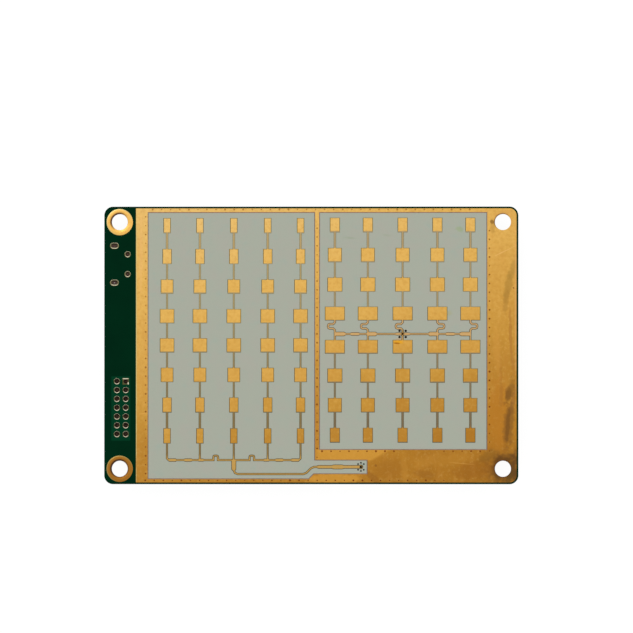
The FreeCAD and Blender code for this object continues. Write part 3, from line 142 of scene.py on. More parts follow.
class Look:
    """A material under construction. Its place socket gives the point in millimetres."""

    def __init__(self, name, colour, roughness, metallic=0, specular=0.5):
        self.material = bpy.data.materials.new(name)
        self.material.use_nodes = True
        self.material.diffuse_color = linear(colour)
        self.tree = self.material.node_tree
        self.inputs = self.tree.nodes["Principled BSDF"].inputs
        for socket, value in (("Base Color", linear(colour)), ("Roughness", roughness),
                              ("Metallic", metallic), ("Specular IOR Level", specular)):
            self.inputs[socket].default_value = value
        self.place = self.vector("SCALE", self.node("TexCoord").outputs["Object"])
        self.place.node.inputs["Scale"].default_value = 1 / MM
        self.colour = linear(colour)

    def plug(self, socket, value):
        if isinstance(value, bpy.types.NodeSocket):
            self.tree.links.new(value, socket)
        else:
            socket.default_value = value

    def node(self, kind, **inputs):
        """New node with values or sockets for the inputs that are named."""
        node = self.tree.nodes.new("ShaderNode" + kind)
        for name, value in inputs.items():
            self.plug(node.inputs[name], value)
        return node

    def operate(self, kind, operation, values):
        node = self.node(kind)
        node.operation = operation
        for socket, value in zip(node.inputs, values):
            self.plug(socket, value)
        return node.outputs

    def vector(self, operation, *values):
        outputs = self.operate("VectorMath", operation, values)
        return outputs["Value" if operation == "LENGTH" else "Vector"]

    def math(self, operation, *values):
        return self.operate("Math", operation, values)[0]

    def product(self, mask, *others):
        """Mask of the places where all the masks hold."""
        for other in others:
            mask = self.math("MULTIPLY", mask, other)
        return mask

    def axes(self, vector=None):
        return self.node("SeparateXYZ", Vector=vector or self.place).outputs

    def facing(self):
        """The three parts of the surface's outward direction."""
        return self.axes(self.node("NewGeometry").outputs["Normal"])

    def noise(self, scale, detail=3, roughness=0.5, stretch=(1, 1, 1)):
        """Noise with about scale features a millimetre."""
        place = self.vector("MULTIPLY", self.place, stretch)
        node = self.node("TexNoise", Scale=scale, Detail=detail, Roughness=roughness, Vector=place)
        return node.outputs["Fac"]

    def span(self, value, low, high, to_low=0, to_high=1):
        """Map low..high to to_low..to_high, clamped."""
        node = self.node("MapRange", Value=value)
        ends = ("From Min", "From Max", "To Min", "To Max")
        for name, number in zip(ends, (low, high, to_low, to_high)):
            node.inputs[name].default_value = number
        return node.outputs["Result"]

    def ramp(self, value, stops, interpolation="LINEAR"):
        """Colours at rising values, which needn't lie between 0 and 1."""
        low, high = stops[0][0], stops[-1][0]
        node = self.node("ValToRGB", Fac=self.span(value, low, high))
        node.color_ramp.interpolation = interpolation
        elements = node.color_ramp.elements
        while len(elements) < len(stops):
            elements.new(1)
        for element, (position, colour) in zip(elements, stops):
            element.position = (position - low) / (high - low)
            element.color = linear(colour)
        return node.outputs["Color"]

    def blend(self, mask, colour, strength=1):
        """Lay a colour or a colour socket over what the base colour is so far."""
        if strength != 1:
            mask = self.math("MULTIPLY", mask, strength)
        node = self.node("Mix")
        node.data_type = "RGBA"
        self.plug(node.inputs["Factor"], mask)
        self.plug(node.inputs[6], self.colour)
        self.plug(node.inputs[7], linear(colour) if isinstance(colour, tuple) else colour)
        self.colour = node.outputs[2]
        self.plug(self.inputs["Base Color"], self.colour)

    def tint(self, value, low, high, colour, strength=1):
        """Lay a colour on, from none of it where value is low to all of it where it is high."""
        self.blend(self.span(value, low, high, 0, strength), colour)

    def roughness(self, value, low, high):
        self.plug(self.inputs["Roughness"], self.span(value, 0.3, 0.7, low, high))

    def bump(self, height, strength, distance=0.01):
        node = self.node("Bump", Strength=strength, Distance=distance * MM, Height=height)
        self.plug(self.inputs["Normal"], node.outputs["Normal"])

    def spot(self, x0, y0, x1, y1, width, soft=0.8, wobble=0.3):
        """Mask of a smear from one place to another, with an uneven, soft edge."""
        reach = Vector((x1 - x0, y1 - y0))
        node = self.node("Mapping", Vector=self.place, Location=((x0 + x1) / 2, (y0 + y1) / 2, 0),
                         Rotation=(0, 0, math.atan2(reach.y, reach.x)),
                         Scale=((reach.length + width) / 2, width / 2, 1000))
        node.vector_type = "TEXTURE"
        distance = self.vector("LENGTH", node.outputs[0])
        uneven = self.span(self.noise(0.9, 2), 0.3, 0.7, -wobble, wobble)
        edge = self.span(self.math("ADD", distance, uneven), 1 + soft / 2, 1 - soft / 2)
        edge.node.interpolation_type = "SMOOTHSTEP"
        return edge

    def smears(self, rows):
        """Smears, each with its two ends, width, colour and strength."""
        for *ends, width, colour, strength in rows:
            self.blend(self.spot(*ends, width), colour, strength)


# Materials

def tarnished_and_shaded(name, wall_shade=(92, 52, 26), browner_by=0):
    """Gold-plated copper, pale at the upper left and browner towards the lower right, partly
    tarnish and partly a painted fall-off of reflected light, with painted shade on its side faces.
    """
    look = Look(name, (217, 170, 84), 0.4, 0.85)
    x, y, _ = look.axes()
    # Painted fall-off of reflected light, partly tarnish: paler at the upper left, browner towards
    # the lower right
    falloff_and_tarnish = look.math("MULTIPLY_ADD", x, 0.004, 0.66 + browner_by)
    falloff_and_tarnish = look.math("MULTIPLY_ADD", y, -1 / 62, falloff_and_tarnish)
    cloud = look.span(look.noise(0.14, 3, 0.55), 0.3, 0.7, -0.07, 0.07)
    look.blend(1, look.ramp(look.math("ADD", falloff_and_tarnish, cloud), [
        (0, (223, 183, 108)), (0.3, (217, 171, 86)), (0.5, (211, 164, 79)),
        (0.7, (201, 151, 66)), (0.82, (190, 140, 54)), (0.94, (179, 127, 45)),
        (1.15, (172, 118, 34)), (1.35, (156, 103, 25)),
    ]))
    grain = look.noise(1.3, 3, 0.6)
    look.tint(grain, 0.48, 0.72, (176, 118, 38), 0.3)
    look.tint(grain, 0.48, 0.3, (228, 186, 106), 0.16)
    # Painted shade on the side faces and bores
    look.tint(look.facing()[2], 0.75, 0.4, wall_shade)
    look.roughness(look.noise(1.4, 4, 0.6), 0.32, 0.5)
    look.bump(look.noise(14, 3, 0.6), 0.12)
    return look


def between_rows(look, rows):
    """Mask of the gaps between the rows of patches, where a field has only lines."""
    middle, patches = rows
    ends = sorted(
        (middle + way * height + half * length / 2, half)
        for height, length in patches for way in (-1, 1) for half in (-1, 1)
    )
    white, black = (255, 255, 255), (0, 0, 0)
    stops = [(end, black if half < 0 else white) for end, half in ends]
    return look.ramp(look.axes()[1], [(-35, white), *stops, (35, white)], "CONSTANT")


def patch_gold(name, rows, line_shade_colours, smears=()):
    """Gold of one field, with painted shade on its narrow lines between the rows, which changes
    with height.
    """
    look = tarnished_and_shaded(name, browner_by=-0.07)
    # Painted shade on the narrow lines between the rows
    colours = look.ramp(look.axes()[1], line_shade_colours)
    look.blend(between_rows(look, rows), colours, 0.92)
    look.smears(smears)
    return look.material


def laminate_material():
    """Board: pale laminate on the front, green on the edges and the rear."""
    look = Look("laminate", (171, 176, 161), 0.62, specular=0.25)
    look.tint(look.noise(0.3, 3, 0.6), 0.42, 0.7, (176, 173, 161), 0.6)
    look.tint(look.noise(0.5, 3, 0.6), 0.55, 0.75, (162, 176, 163), 0.6)
    weave = look.product(*(
        look.math("SINE", look.math("MULTIPLY", axis, 12)) for axis in look.axes()[:2]
    ))
    look.tint(weave, -1, 1, (126, 134, 120), 0.09)
    look.smears([
        (33.4, 26.5, 33.9, 26.2, 1.1, (154, 170, 126), 0.6),
        (30.6, 7.1, 31.2, 7.4, 1.2, (168, 166, 122), 0.5),
        (7.6, 24.5, 10, 24.3, 0.5, (146, 160, 132), 0.4),
        (16.4, 25.1, 17.8, 24.9, 0.5, (148, 162, 134), 0.3),
        (19.2, 1.1, 20.6, 1.5, 0.7, (196, 158, 110), 0.6),
    ])
    facing = look.facing()[2]
    look.tint(facing, 0.6, 0.4, (8, 60, 34))
    rear = look.span(facing, -0.4, -0.6)
    look.blend(rear, (4, 66, 38))
    planes = look.span(look.noise(0.12, 2, 0.4), 0.48, 0.5)
    look.blend(look.product(rear, planes), (3, 58, 34))
    look.roughness(look.noise(3), 0.5, 0.68)
    look.bump(weave, 0.12, 0.006)
    return look.material


def mask_material():
    """Dark green solder mask of the front, lighter round the header."""
    look = Look("front_mask_green", (0, 41, 22), 0.34, specular=0.012)
    look.tint(look.noise(0.2), 0.35, 0.7, (0, 35, 19), 0.6)
    x, y, _ = look.axes()
    across = look.math("ABSOLUTE", look.math("SUBTRACT", x, -43.24))
    along = look.math("ABSOLUTE", look.math("SUBTRACT", y, -14.33))
    inside = look.product(look.span(across, 2.25, 2.05), look.span(along, 7.4, 7.2))
    look.blend(inside, (3, 60, 36), 0.8)
    look.roughness(look.noise(2), 0.28, 0.42)
    look.bump(look.noise(0.9), 0.08, 0.02)
    return look.material


def edge_shade_material(name, facing_shades, rows=None, line_shade_colours=None):
    """Narrow sloping foot of the copper, with painted light and shade for each way that it faces,
    and painted shade towards the bottom and on the lines between the rows.
    """
    below, above, left, right = facing_shades
    look = Look(name, right, 0.7, specular=0.1)
    across, up, _ = look.facing()
    # Painted light and shade by the way each slope faces
    look.tint(across, 0.1, -0.3, left)
    look.tint(up, -0.15, -0.45, below)
    look.tint(up, 0.15, 0.45, above)
    y = look.axes()[1]
    # Painted shade, darker towards the bottom
    look.tint(y, 5, -25, (84, 58, 26), 0.45 if rows else 0.15)
    look.tint(look.noise(1.6), 0.42, 0.7, (96, 84, 48), 0.4)
    # Painted shade on the lines between the rows
    if rows:
        look.blend(between_rows(look, rows), look.ramp(y, line_shade_colours), 0.85)
    look.bump(look.noise(9), 0.15)
    return look.material


def rim_material(name, flat, lit, shaded, glints=()):
    """Thin plated rim with painted light where it leans up the board, painted shade where it leans
    down and where it stands upright, and painted glints.
    """
    look = Look(name, flat, 0.42, 0.15, 0.15)
    _, up, high = look.facing()
    look.tint(look.noise(2), 0.4, 0.7, shaded, 0.5)
    look.tint(up, 0.06, 0.24, lit)
    look.tint(up, -0.04, -0.2, shaded)
    look.tint(high, 0.6, 0.4, shaded)
    for glint in glints:
        look.blend(look.spot(*glint, 0.5, 0.1), lit)
    look.roughness(look.noise(3), 0.32, 0.5)
    look.bump(look.noise(8), 0.1)
    return look.material


def dot_material(name, colour, upper_left=None, deep=(70, 40, 16)):
    """Dull bottom of a tiny via, which may have another colour at the board's upper left."""
    look = Look(name, colour, 0.7, specular=0.05)
    look.tint(look.noise(2), 0.45, 0.7, deep, 0.5)
    if upper_left:
        x, y, _ = look.axes()
        look.tint(look.math("MULTIPLY_ADD", x, -0.35, y), -22, 26, upper_left, 0.92)
    look.bump(look.noise(8, 2), 0.1)
    return look.material


def darker(colour, share):
    return tuple(int(value * share) for value in colour)


def plain_material(name, colour, rough, metallic=0, grain=6, fleck=None, depth=0.12):
    """Moulded or metal surface with fine grain and uneven gloss."""
    look = Look(name, colour, sum(rough) / 2, metallic)
    fine = look.noise(grain, 4, 0.6)
    look.tint(fine, 0.35, 0.7, fleck or darker(colour, 0.72), 0.35)
    look.roughness(look.noise(grain / 4), *rough)
    look.bump(fine, depth)
    return look.material


def brushed_material(name, colour, along):
    """Tinned sheet with fine rolling marks along one axis."""
    look = Look(name, colour, 0.36, 0.95)
    stretch = (0.25, 9, 9) if along == "x" else (9, 0.25, 9)
    lines = look.noise(1, 4, 0.65, stretch)
    look.tint(lines, 0.35, 0.7, darker(colour, 0.8), 0.4)
    look.tint(look.noise(0.13), 0.45, 0.75, darker(colour, 0.86), 0.3)
    look.roughness(lines, 0.3, 0.46)
    look.bump(lines, 0.1)
    return look.material


def round_hole(look, place):
    """How far a point lies from the centre of a hole, and how far to its upper left."""
    offset = look.vector("SUBTRACT", look.place, (*place, COPPER_TOP))
    x, y, _ = look.axes(offset)
    return look.vector("LENGTH", offset), look.math("SUBTRACT", y, x)


def shade_and_tarnish_halo(look, place, start, end, colour, strength, leaning=True):
    """Darken the gold round a hole up to a radius, and if leaning at its upper left: painted shade
    of the hole's wall, at one hole partly tarnish.
    """
    distance, upper_left = round_hole(look, place)
    mask = look.span(distance, end, start)
    if leaning:
        mask = look.product(mask, look.span(upper_left, -0.8, 1.8))
    look.blend(mask, colour, strength)


def ring_gold():
    """Gold of the ringed mounting holes, the lower one browner, with a pale outer rim and painted
    shade round each bore and on its side faces.
    """
    # Colour of the painted shade on the side faces and bores
    wall = (46, 20, 12)
    look = tarnished_and_shaded("gold_rings", wall)
    y = look.axes()[1]
    look.tint(y, -20, -24.9, (150, 97, 26), 0.9)
    look.tint(y, 20, 24, (240, 180, 74), 0.5)
    for place, rim, inner, reach in (
        (MOUNTS[0], (150, 134, 76), (58, 30, 14), 2.35),
        (MOUNTS[1], (206, 192, 132), (72, 32, 20), 2.3),
    ):
        # Painted shade of the bore's wall, at its upper left
        shade_and_tarnish_halo(look, place, 2.05, reach, inner, 0.95)
        distance, upper_left = round_hole(look, place)
        look.blend(look.product(
            look.span(distance, 2.74, 2.86), look.span(distance, 3.5, 3.3),
            look.span(upper_left, -3.2, 1.2),
        ), rim, 0.85)
    # Painted shade of the bore's wall, all round the lower hole
    shade_and_tarnish_halo(look, MOUNTS[0], 1.92, 2.2, (58, 30, 14), 0.7, False)
    # Painted shade on the side faces and bores
    look.tint(look.facing()[2], 0.75, 0.4, wall)
    return look.material


# Smears, dark patches and scratches of the large copper area, and a painted highlight along its
# left edge
STAINS_AND_HIGHLIGHT = [
    # Warmer, browner lower right, with the halo of the hole there
    (42.6, -10, 42.6, -24, 4.4, (176, 112, 30), 0.5),
    (43.5, -28, 43.5, -27.8, 8.4, (134, 88, 26), 0.55),
    (43.7, -28, 44.2, -27.9, 5.6, (80, 54, 18), 0.7),
    (45.8, -28.4, 44.8, -30.3, 1.5, (86, 66, 26), 0.5),
    (42.4, -25.2, 46, -25.4, 1.6, (96, 62, 24), 0.5),
    (46.2, -24, 46, -30, 1, (98, 62, 26), 0.5),
    (39.2, -25.6, 41.6, -24.4, 2, (134, 92, 28), 0.5),
    # Olive and brown smears down the right strip
    (46, 18.6, 45.3, 15.4, 1.3, (166, 128, 56), 0.5),
    (45.3, 15.8, 44.3, 11.2, 1.7, (164, 124, 50), 0.6),
    (44.5, 12, 44, 8.2, 1.2, (164, 120, 48), 0.5),
    (45.1, 7.4, 45.4, -3, 0.7, (166, 110, 44), 0.55),
    (45.6, -2, 45.9, -6, 0.6, (166, 112, 48), 0.4),
    (45.7, -8.2, 44.6, -12.4, 1.7, (128, 86, 30), 0.65),
    (44.9, -10.4, 44.5, -12.6, 1.2, (108, 70, 26), 0.5),
    (46.2, -10.4, 45.2, -15.4, 0.9, (138, 92, 42), 0.5),
    (45, -14.2, 44.5, -22, 2.2, (124, 82, 30), 0.65),
    (44.8, -15.4, 44.4, -21.4, 0.9, (98, 64, 26), 0.5),
    (42.9, -2.5, 43.1, -11.5, 0.6, (166, 112, 42), 0.4),
    (43.3, -9, 43, -14, 0.8, (160, 106, 38), 0.4),
    # Upper right corner
    (41.2, 28.3, 41.3, 26.2, 1.1, (182, 138, 62), 0.6),
    (41, 28.1, 41.1, 28, 0.9, (132, 92, 36), 0.75),
    (41.6, 29.6, 45.4, 30.4, 1, (204, 150, 78), 0.4),
    (45.9, 13.1, 45.95, 13, 0.35, (136, 84, 38), 0.8),
    # Lower band
    (14.6, -27.2, 14.7, -27.3, 0.5, (126, 80, 24), 0.8),
    (13.2, -29.4, 14.6, -30.4, 1.6, (140, 88, 26), 0.55),
    (24.4, -29, 27.4, -29.6, 1.6, (146, 94, 28), 0.5),
    (16.4, -28, 19.6, -27.8, 4.4, (158, 104, 30), 0.45),
    (4.3, -29.9, 5.1, -29.8, 1, (160, 108, 28), 0.6),
    (2.2, -30.6, 3.2, -30.4, 0.8, (176, 124, 44), 0.4),
    (34, -28.6, 40, -28, 3.4, (146, 90, 22), 0.45),
    # Paler streaks and scratches
    (41.7, 20.3, 45.8, 22.3, 0.22, (236, 190, 118), 0.38),
    (20.9, -25.6, 21.4, -30.4, 1.6, (192, 138, 52), 0.3),
    (0.4, -30.4, 10.4, -30.2, 2.4, (208, 151, 58), 0.6),
    (24, -26.6, 34, -25.6, 2.6, (184, 130, 46), 0.35),
    (41.8, 4, 42.4, -6, 1.6, (206, 150, 66), 0.3),
    (-38.6, 29.5, -38.7, 12, 0.7, (232, 182, 112), 0.3),
    (46.4, 25, 46.4, -8, 0.4, (218, 164, 100), 0.5),
    # Painted highlight along the copper's left edge, by the mask
    (-39.72, 30.4, -39.72, -30.4, 0.22, (196, 184, 122), 0.85),
    (32, -26.6, 36.4, -27, 0.2, (206, 152, 72), 0.4),
    (-39, -15.6, -37.6, -15.4, 0.2, (226, 172, 90), 0.4),
]


def stained_and_shaded_gold():
    """Gold of the large copper area, with its smears, dark patches and scratches, a painted
    highlight along its left edge and painted shade round the bores at the right.
    """
    look = tarnished_and_shaded("gold_ground", browner_by=0.05)
    streaks = look.noise(0.5, 3, 0.6, (1.2, 0.25, 1))
    look.tint(streaks, 0.5, 0.7, (196, 138, 62), 0.22)
    look.smears(STAINS_AND_HIGHLIGHT)
    x, y, _ = look.axes()
    slant = look.math("MULTIPLY_ADD", x, -0.6, y)
    band = look.product(
        look.span(y, -23.5, -23.7), look.span(y, -26.5, -25.9),
        look.span(slant, -34.7, -34), look.span(x, 0.6, 1.6),
    )
    look.blend(band, (214, 157, 62), 0.5)
    # Painted shade of the upper right bore's wall, at its upper left
    shade_and_tarnish_halo(look, MOUNTS[3], 1.86, 2.15, (96, 52, 24), 0.9)
    # Round the lower right bore: partly tarnish, partly painted shade of its wall
    shade_and_tarnish_halo(look, MOUNTS[2], 2, 2.8, (96, 58, 20), 0.6)
    shade_and_tarnish_halo(look, MOUNTS[2], 1.85, 2.1, (70, 38, 16), 0.8, False)
    return look.material


# Meshes

def add_object(name, data):
    """Put a mesh, curve, lamp or camera into the scene."""
    item = bpy.data.objects.new(name, data)
    bpy.context.scene.collection.objects.link(item)
    return item


def finish_mesh(name, mesh, material, smooth_angle=None, replaces=None):
    """Turn millimetres to metres, add the piece to the scene and let it ride."""
    if isinstance(mesh, bmesh.types.BMesh):
        bmesh.ops.recalc_face_normals(mesh, faces=mesh.faces)
        flat = bpy.data.meshes.new(name)
        mesh.to_mesh(flat)
        mesh.free()
        mesh = flat
    mesh.transform(Matrix.Scale(MM, 4))
    mesh.materials.clear()
    mesh.materials.append(material)
    piece = add_object(name, mesh)
    if smooth_angle:
        mesh.shade_smooth()
        mesh.set_sharp_from_angle(angle=math.radians(smooth_angle))
    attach(piece, "root")
    if replaces:
        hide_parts(replaces)


def around(cx, cy, radius, degrees):
    turn = math.radians(degrees)
    return cx + radius * math.cos(turn), cy + radius * math.sin(turn)


def arc(cx, cy, radius, start, end, count):
    """Points of an arc from start to end degrees, both included."""
    return [around(cx, cy, radius, start + (end - start) * k / (count - 1)) for k in range(count)]


def circle(cx, cy, radius, count):
    return arc(cx, cy, radius, 0, 360 - 360 / count, count)


def stadium(cx, cy, length, width):
    """Slot outline with round ends, long along X."""
    reach = (length - width) / 2
    return (arc(cx + reach, cy, width / 2, -90, 90, 14)
            + arc(cx - reach, cy, width / 2, 90, 270, 14))


def rectangle(x0, y0, x1, y1, grow=0):
    """Outline between two corners, grown on all sides."""
    x0, y0, x1, y1 = x0 - grow, y0 - grow, x1 + grow, y1 + grow
    return [(x0, y0), (x1, y0), (x1, y1), (x0, y1)]


def square(cx, cy, side):
    return rectangle(cx, cy, cx, cy, side)


def plate(outer, holes, low, high):
    """Flat plate between two heights with holes, as a mesh."""
    data = bpy.data.curves.new("outline", "CURVE")
    data.dimensions = "2D"
    data.fill_mode = "BOTH"
    data.extrude = (high - low) / 2
    for loop in [outer] + holes:
        spline = data.splines.new("POLY")
        spline.points.add(len(loop) - 1)
        for point, (x, y) in zip(spline.points, loop):
            point.co = (x, y, 0, 1)
        spline.use_cyclic_u = True
    holder = add_object("outline", data)
    graph = bpy.context.evaluated_depsgraph_get()
    mesh = bpy.data.meshes.new_from_object(holder.evaluated_get(graph))
    bpy.data.objects.remove(holder)
    bpy.data.curves.remove(data)
    mesh.transform(Matrix.Translation((0, 0, (low + high) / 2)))
    return mesh


def add_mesh(target, mesh):
    target.from_mesh(mesh)
    bpy.data.meshes.remove(mesh)


def strip(target, here, there, closed=True):
    """Faces between two rows of corners, which may close to a ring."""
    for i in range(len(here) if closed else len(here) - 1):
        j = (i + 1) % len(here)
        target.faces.new((here[i], here[j], there[j], there[i]))


def lathe(target, places, profile, count, closed=True):
    """Turn a profile of (radius, height) round the upright axis at each place."""
    turns = [2 * math.pi * k / count for k in range(count)]
    for cx, cy in places:
        rings = [
            [target.verts.new((cx + r * math.cos(t), cy + r * math.sin(t), z)) for r, z in profile]
            for t in turns
        ]
        for k, here in enumerate(rings):
            strip(target, rings[(k + 1) % count], here, closed)


def tube(bore, wall, top):
    return [(bore, 0), (bore, top), (wall, top), (wall, 0)]


def offset_loop(points, reach):
    """The same closed outline, moved to the right of its direction by reach."""
    moved = []
    for index, point in enumerate(points):
        before = (Vector(point) - Vector(points[index - 1])).normalized()
        after = (Vector(points[(index + 1) % len(points)]) - Vector(point)).normalized()
        side = Vector((before.y, -before.x)) + Vector((after.y, -after.x))
        share = max(1 + before.dot(after), 0.4)
        moved.append((point[0] + side.x / share * reach, point[1] + side.y / share * reach))
    return moved


def sweep(target, outline, profile):
    """Carry a closed profile of (distance outwards, height) along an outline."""
    rings = [
        [target.verts.new((x, y, height)) for x, y in offset_loop(outline, reach)]
        for reach, height in profile
    ]
    for i, here in enumerate(rings):
        strip(target, here, rings[(i + 1) % len(rings)])


def welded_copy(name):
    """Mesh of a CAD node, with the corners that lie on each other joined."""
    mesh = bmesh.new()
    mesh.from_mesh(frame["nodes"][name].data)
    bmesh.ops.remove_doubles(mesh, verts=mesh.verts, dist=WELD)
    return mesh


def top_outlines(name):
    """Closed outlines of a node's top face, with the copper on their left."""
    mesh = welded_copy(name)
    highest = max(vertex.co.z for vertex in mesh.verts)
    following = {}
    for face in mesh.faces:
        if all(highest - vertex.co.z < LEVEL for vertex in face.verts):
            for loop in face.loops:
                others = [other for other in loop.edge.link_faces if other is not face]
                if not all(highest - v.co.z < LEVEL for other in others for v in other.verts):
                    following[loop.vert.index] = loop.link_loop_next.vert.index
    mesh.verts.ensure_lookup_table()
    outlines = []
    while following:
        index, after = following.popitem()
        chain = [index]
        while after != chain[0]:
            chain.append(after)
            after = following.pop(after)
        outlines.append([tuple(mesh.verts[i].co.xy / MM) for i in chain])
    mesh.free()
    return outlines


def flank(name, outlines, reach, material):
    """Narrow sloping strip along the edge of a copper area, where the etch ate into it, which
    carries painted light and shade.
    """
    mesh = bmesh.new()
    for outline in outlines:
        edge = offset_loop(outline, -ETCH_INSIDE)
        foot = offset_loop(outline, reach)
        upper = [mesh.verts.new((x, y, COPPER_TOP)) for x, y in edge]
        lower = [mesh.verts.new((x, y, FACE + 0.002)) for x, y in foot]
        strip(mesh, lower, upper)
    finish_mesh(name, mesh, material)


def build_patch_field(side, material, edge_material):
    """The patches and lines of one field, with the sloping edges that etching leaves, which carry
    painted light and shade.
    """
    name = f"{side}_patch_array"
    outlines = top_outlines(name)
    edges = [offset_loop(outline, -ETCH_INSIDE) for outline in outlines]
    sheet = plate(edges[0], edges[1:], FACE + 0.001, COPPER_TOP)
    finish_mesh(f"{side}_patch_sheet", sheet, material, None, name)
    flank(f"{side}_patch_edges", outlines, ETCH_AND_SHADE_PATCHES, edge_material)


def softened(names, width, material, segments=2):
    """Copies of CAD nodes with rounded edges, which stand for them."""
    for name in names:
        mesh = welded_copy(name)
        bmesh.ops.dissolve_limit(
            mesh, angle_limit=math.radians(2), verts=mesh.verts, edges=mesh.edges
        )
        sharp = [
            edge for edge in mesh.edges
            if len(edge.link_faces) == 2 and edge.calc_face_angle() > math.radians(35)
        ]
        bmesh.ops.bevel(
            mesh, geom=sharp, offset=width * MM, segments=segments, profile=0.5, affect="EDGES",
            clamp_overlap=True
        )
        bmesh.ops.scale(mesh, vec=(1 / MM, 1 / MM, 1 / MM), verts=mesh.verts)
        finish_mesh(f"{name}_finished", mesh, material, 40, name)


def nodes_in(slot):
    return [name for name in SLOT_OF if SLOT_OF[name] == slot]


def paint(names, material):
    for name in names:
        node = frame["nodes"][name]
        node.data.materials.clear()
        node.data.materials.append(material)


# Front of the board

def fence_places():
    """Rows of tiny ground vias along the edges of the copper area."""
    rows = (
        (-37.6, 29.19, 0, -2.01, 30), (1.33, 26.6, 0, -2, 27), (40.46, 26.05, 0, -2, 26),
        (-36.03, 30.84, 2.057, 0, 36), (-37.69, -30.64, 2.055, 0, 34),
        (2.46, -24.02, 2.04, 0, 9), (30.15, -24.02, 2.05, 0, 5),
    )
    return [
        (x + across * k, y + up * k) for x, y, across, up, count in rows for k in range(count)
    ]


def feed_dots():
    """Ground vias round the two feeds, left of them open for the left line."""
    for (cx, cy), radius, angles in (
        (LEFT_FEED, 0.92, (45, 90, 135, -45, -90, -135)), (RIGHT_FEED, 1, (45, 135, -45, -135)),
    ):
        for angle in angles:
            yield around(cx, cy, radius, angle)


def copper_outline():
    radius = BOARD_CORNER - RIM
    right, top = COPPER_RIGHT - radius, COPPER_HIGH - radius
    return ([(COPPER_LEFT, -COPPER_HIGH)] + arc(right, -top, radius, -90, 0, 14)
            + arc(right, top, radius, 0, 90, 14) + [(COPPER_LEFT, COPPER_HIGH)])


def window_outlines():
    end, low, high = CHANNEL
    left, right = LEFT_WINDOW
    chamfer = right - CHAMFER_INSET
    first = [(left, LEFT_WINDOW_BOTTOM), (left, WINDOW_TOP), (right, WINDOW_TOP), (right, high),
             (end, high), (end, low), (chamfer, low),
             (chamfer - CHANNEL_CHAMFER, LEFT_WINDOW_BOTTOM)]
    left, right = RIGHT_WINDOW
    return [first, [(left, RIGHT_WINDOW_BOTTOM), (left, WINDOW_TOP), (right, WINDOW_TOP),
                    (right, RIGHT_WINDOW_BOTTOM)]]


def build_ground_sheet(material, edge_material, core_material):
    """Copper area with round bores and the dimples of its ground vias."""
    draw = random.Random(7)
    vias = [(x, y, draw.uniform(0.13, 0.24)) for x, y in fence_places()]
    mesh = bmesh.new()
    holes = [offset_loop(outline, -ETCH_INSIDE) for outline in window_outlines()]
    holes += [circle(x, y, MOUNT_BORE, 72) for x, y in COPPER_MOUNTS]
    holes += [circle(x, y, r, 10) for x, y, r in vias]
    add_mesh(mesh, plate(copper_outline(), holes, FACE, COPPER_TOP))
    lathe(mesh, COPPER_MOUNTS, tube(MOUNT_BORE, MOUNT_WALL, COPPER_TOP - 0.002), 72)
    finish_mesh("ground_copper_sheet", mesh, material, 30, "ground_copper")
    flank("ground_copper_edge", window_outlines(), ETCH_AND_SHADE_WINDOWS, edge_material)

    cores = bmesh.new()
    for x, y, radius in vias:
        lathe(cores, [(x, y)], [(POINT, FACE + 0.004), (radius * 0.6, FACE + 0.006),
                                (radius + 0.01, COPPER_TOP - 0.004)], 10, closed=False)
    finish_mesh("ground_via_cores", cores, core_material, 40)


def build_front_mask(material):
    mesh = bmesh.new()
    right, top = BOARD_RIGHT - BOARD_CORNER, BOARD_TOP - BOARD_CORNER
    outer = []
    for x, y, start in (
        (right, -top, -90), (right, top, 0), (-right, top, 90), (-right, -top, 180),
    ):
        outer += arc(x, y, BOARD_CORNER, start, start + 90, 16)
    holes = [copper_outline()]
    holes += [circle(x, y, MOUNT_RING + MASK_CLEARANCE, 72) for x, y in MASK_MOUNTS]
    side = HEADER_RING + MASK_CLEARANCE
    holes += [circle(x, y, side, 32) for x, y in HEADER_HOLES] + [square(*FIRST_HOLE, side)]
    holes += [circle(x, y, PORT_ROUND_RING + MASK_CLEARANCE, 32) for x, y in PORT_ROUNDS]
    grow = 2 * (PORT_SLOT_RIM + MASK_CLEARANCE)
    holes += [stadium(x, y, PORT_SLOT[0] + grow, PORT_SLOT[1] + grow) for x, y in PORT_SLOTS]
    add_mesh(mesh, plate(outer, holes, FACE, MASK_TOP))
    finish_mesh("front_mask_layer", mesh, material, None, "front_solder_mask")


def build_mounting_eyelets(material):
    mesh = bmesh.new()
    lathe(mesh, MASK_MOUNTS, [
        (MOUNT_BORE, 0), (MOUNT_BORE, COPPER_TOP - 0.03), (MOUNT_BORE + 0.03, COPPER_TOP),
        (MOUNT_RING - 0.03, COPPER_TOP), (MOUNT_RING, COPPER_TOP - 0.02),
        (MOUNT_RING, FACE), (MOUNT_WALL, FACE), (MOUNT_WALL, 0),
    ], 96)
    finish_mesh("mounting_eyelets", mesh, material, 50, "mounting_hole_plating")


def barrel(bore, ring):
    """Profile of a plated hole whose rim slopes down to the bore above the laminate."""
    lip = (ring - bore) * 0.65
    return [(bore, 0), (bore, FACE + 0.003), (bore + lip * 0.5, FACE + 0.02),
            (bore + lip, COPPER_TOP), (ring - 0.02, COPPER_TOP), (ring, COPPER_TOP - 0.015),
            (ring, FACE), (bore + PLATING, FACE - 0.2), (bore + PLATING, 0)]


def build_header_barrels(material):
    mesh = bmesh.new()
    hole = circle(*FIRST_HOLE, HEADER_BORE, 32)
    add_mesh(mesh, plate(square(*FIRST_HOLE, HEADER_RING), [hole], FACE, COPPER_TOP))
    lathe(mesh, [FIRST_HOLE], tube(HEADER_BORE, HEADER_BORE + PLATING, FACE), 32)
    lathe(mesh, HEADER_HOLES, barrel(HEADER_BORE, HEADER_RING), 32)
    finish_mesh("header_barrels", mesh, material, 50, "header_hole_plating")


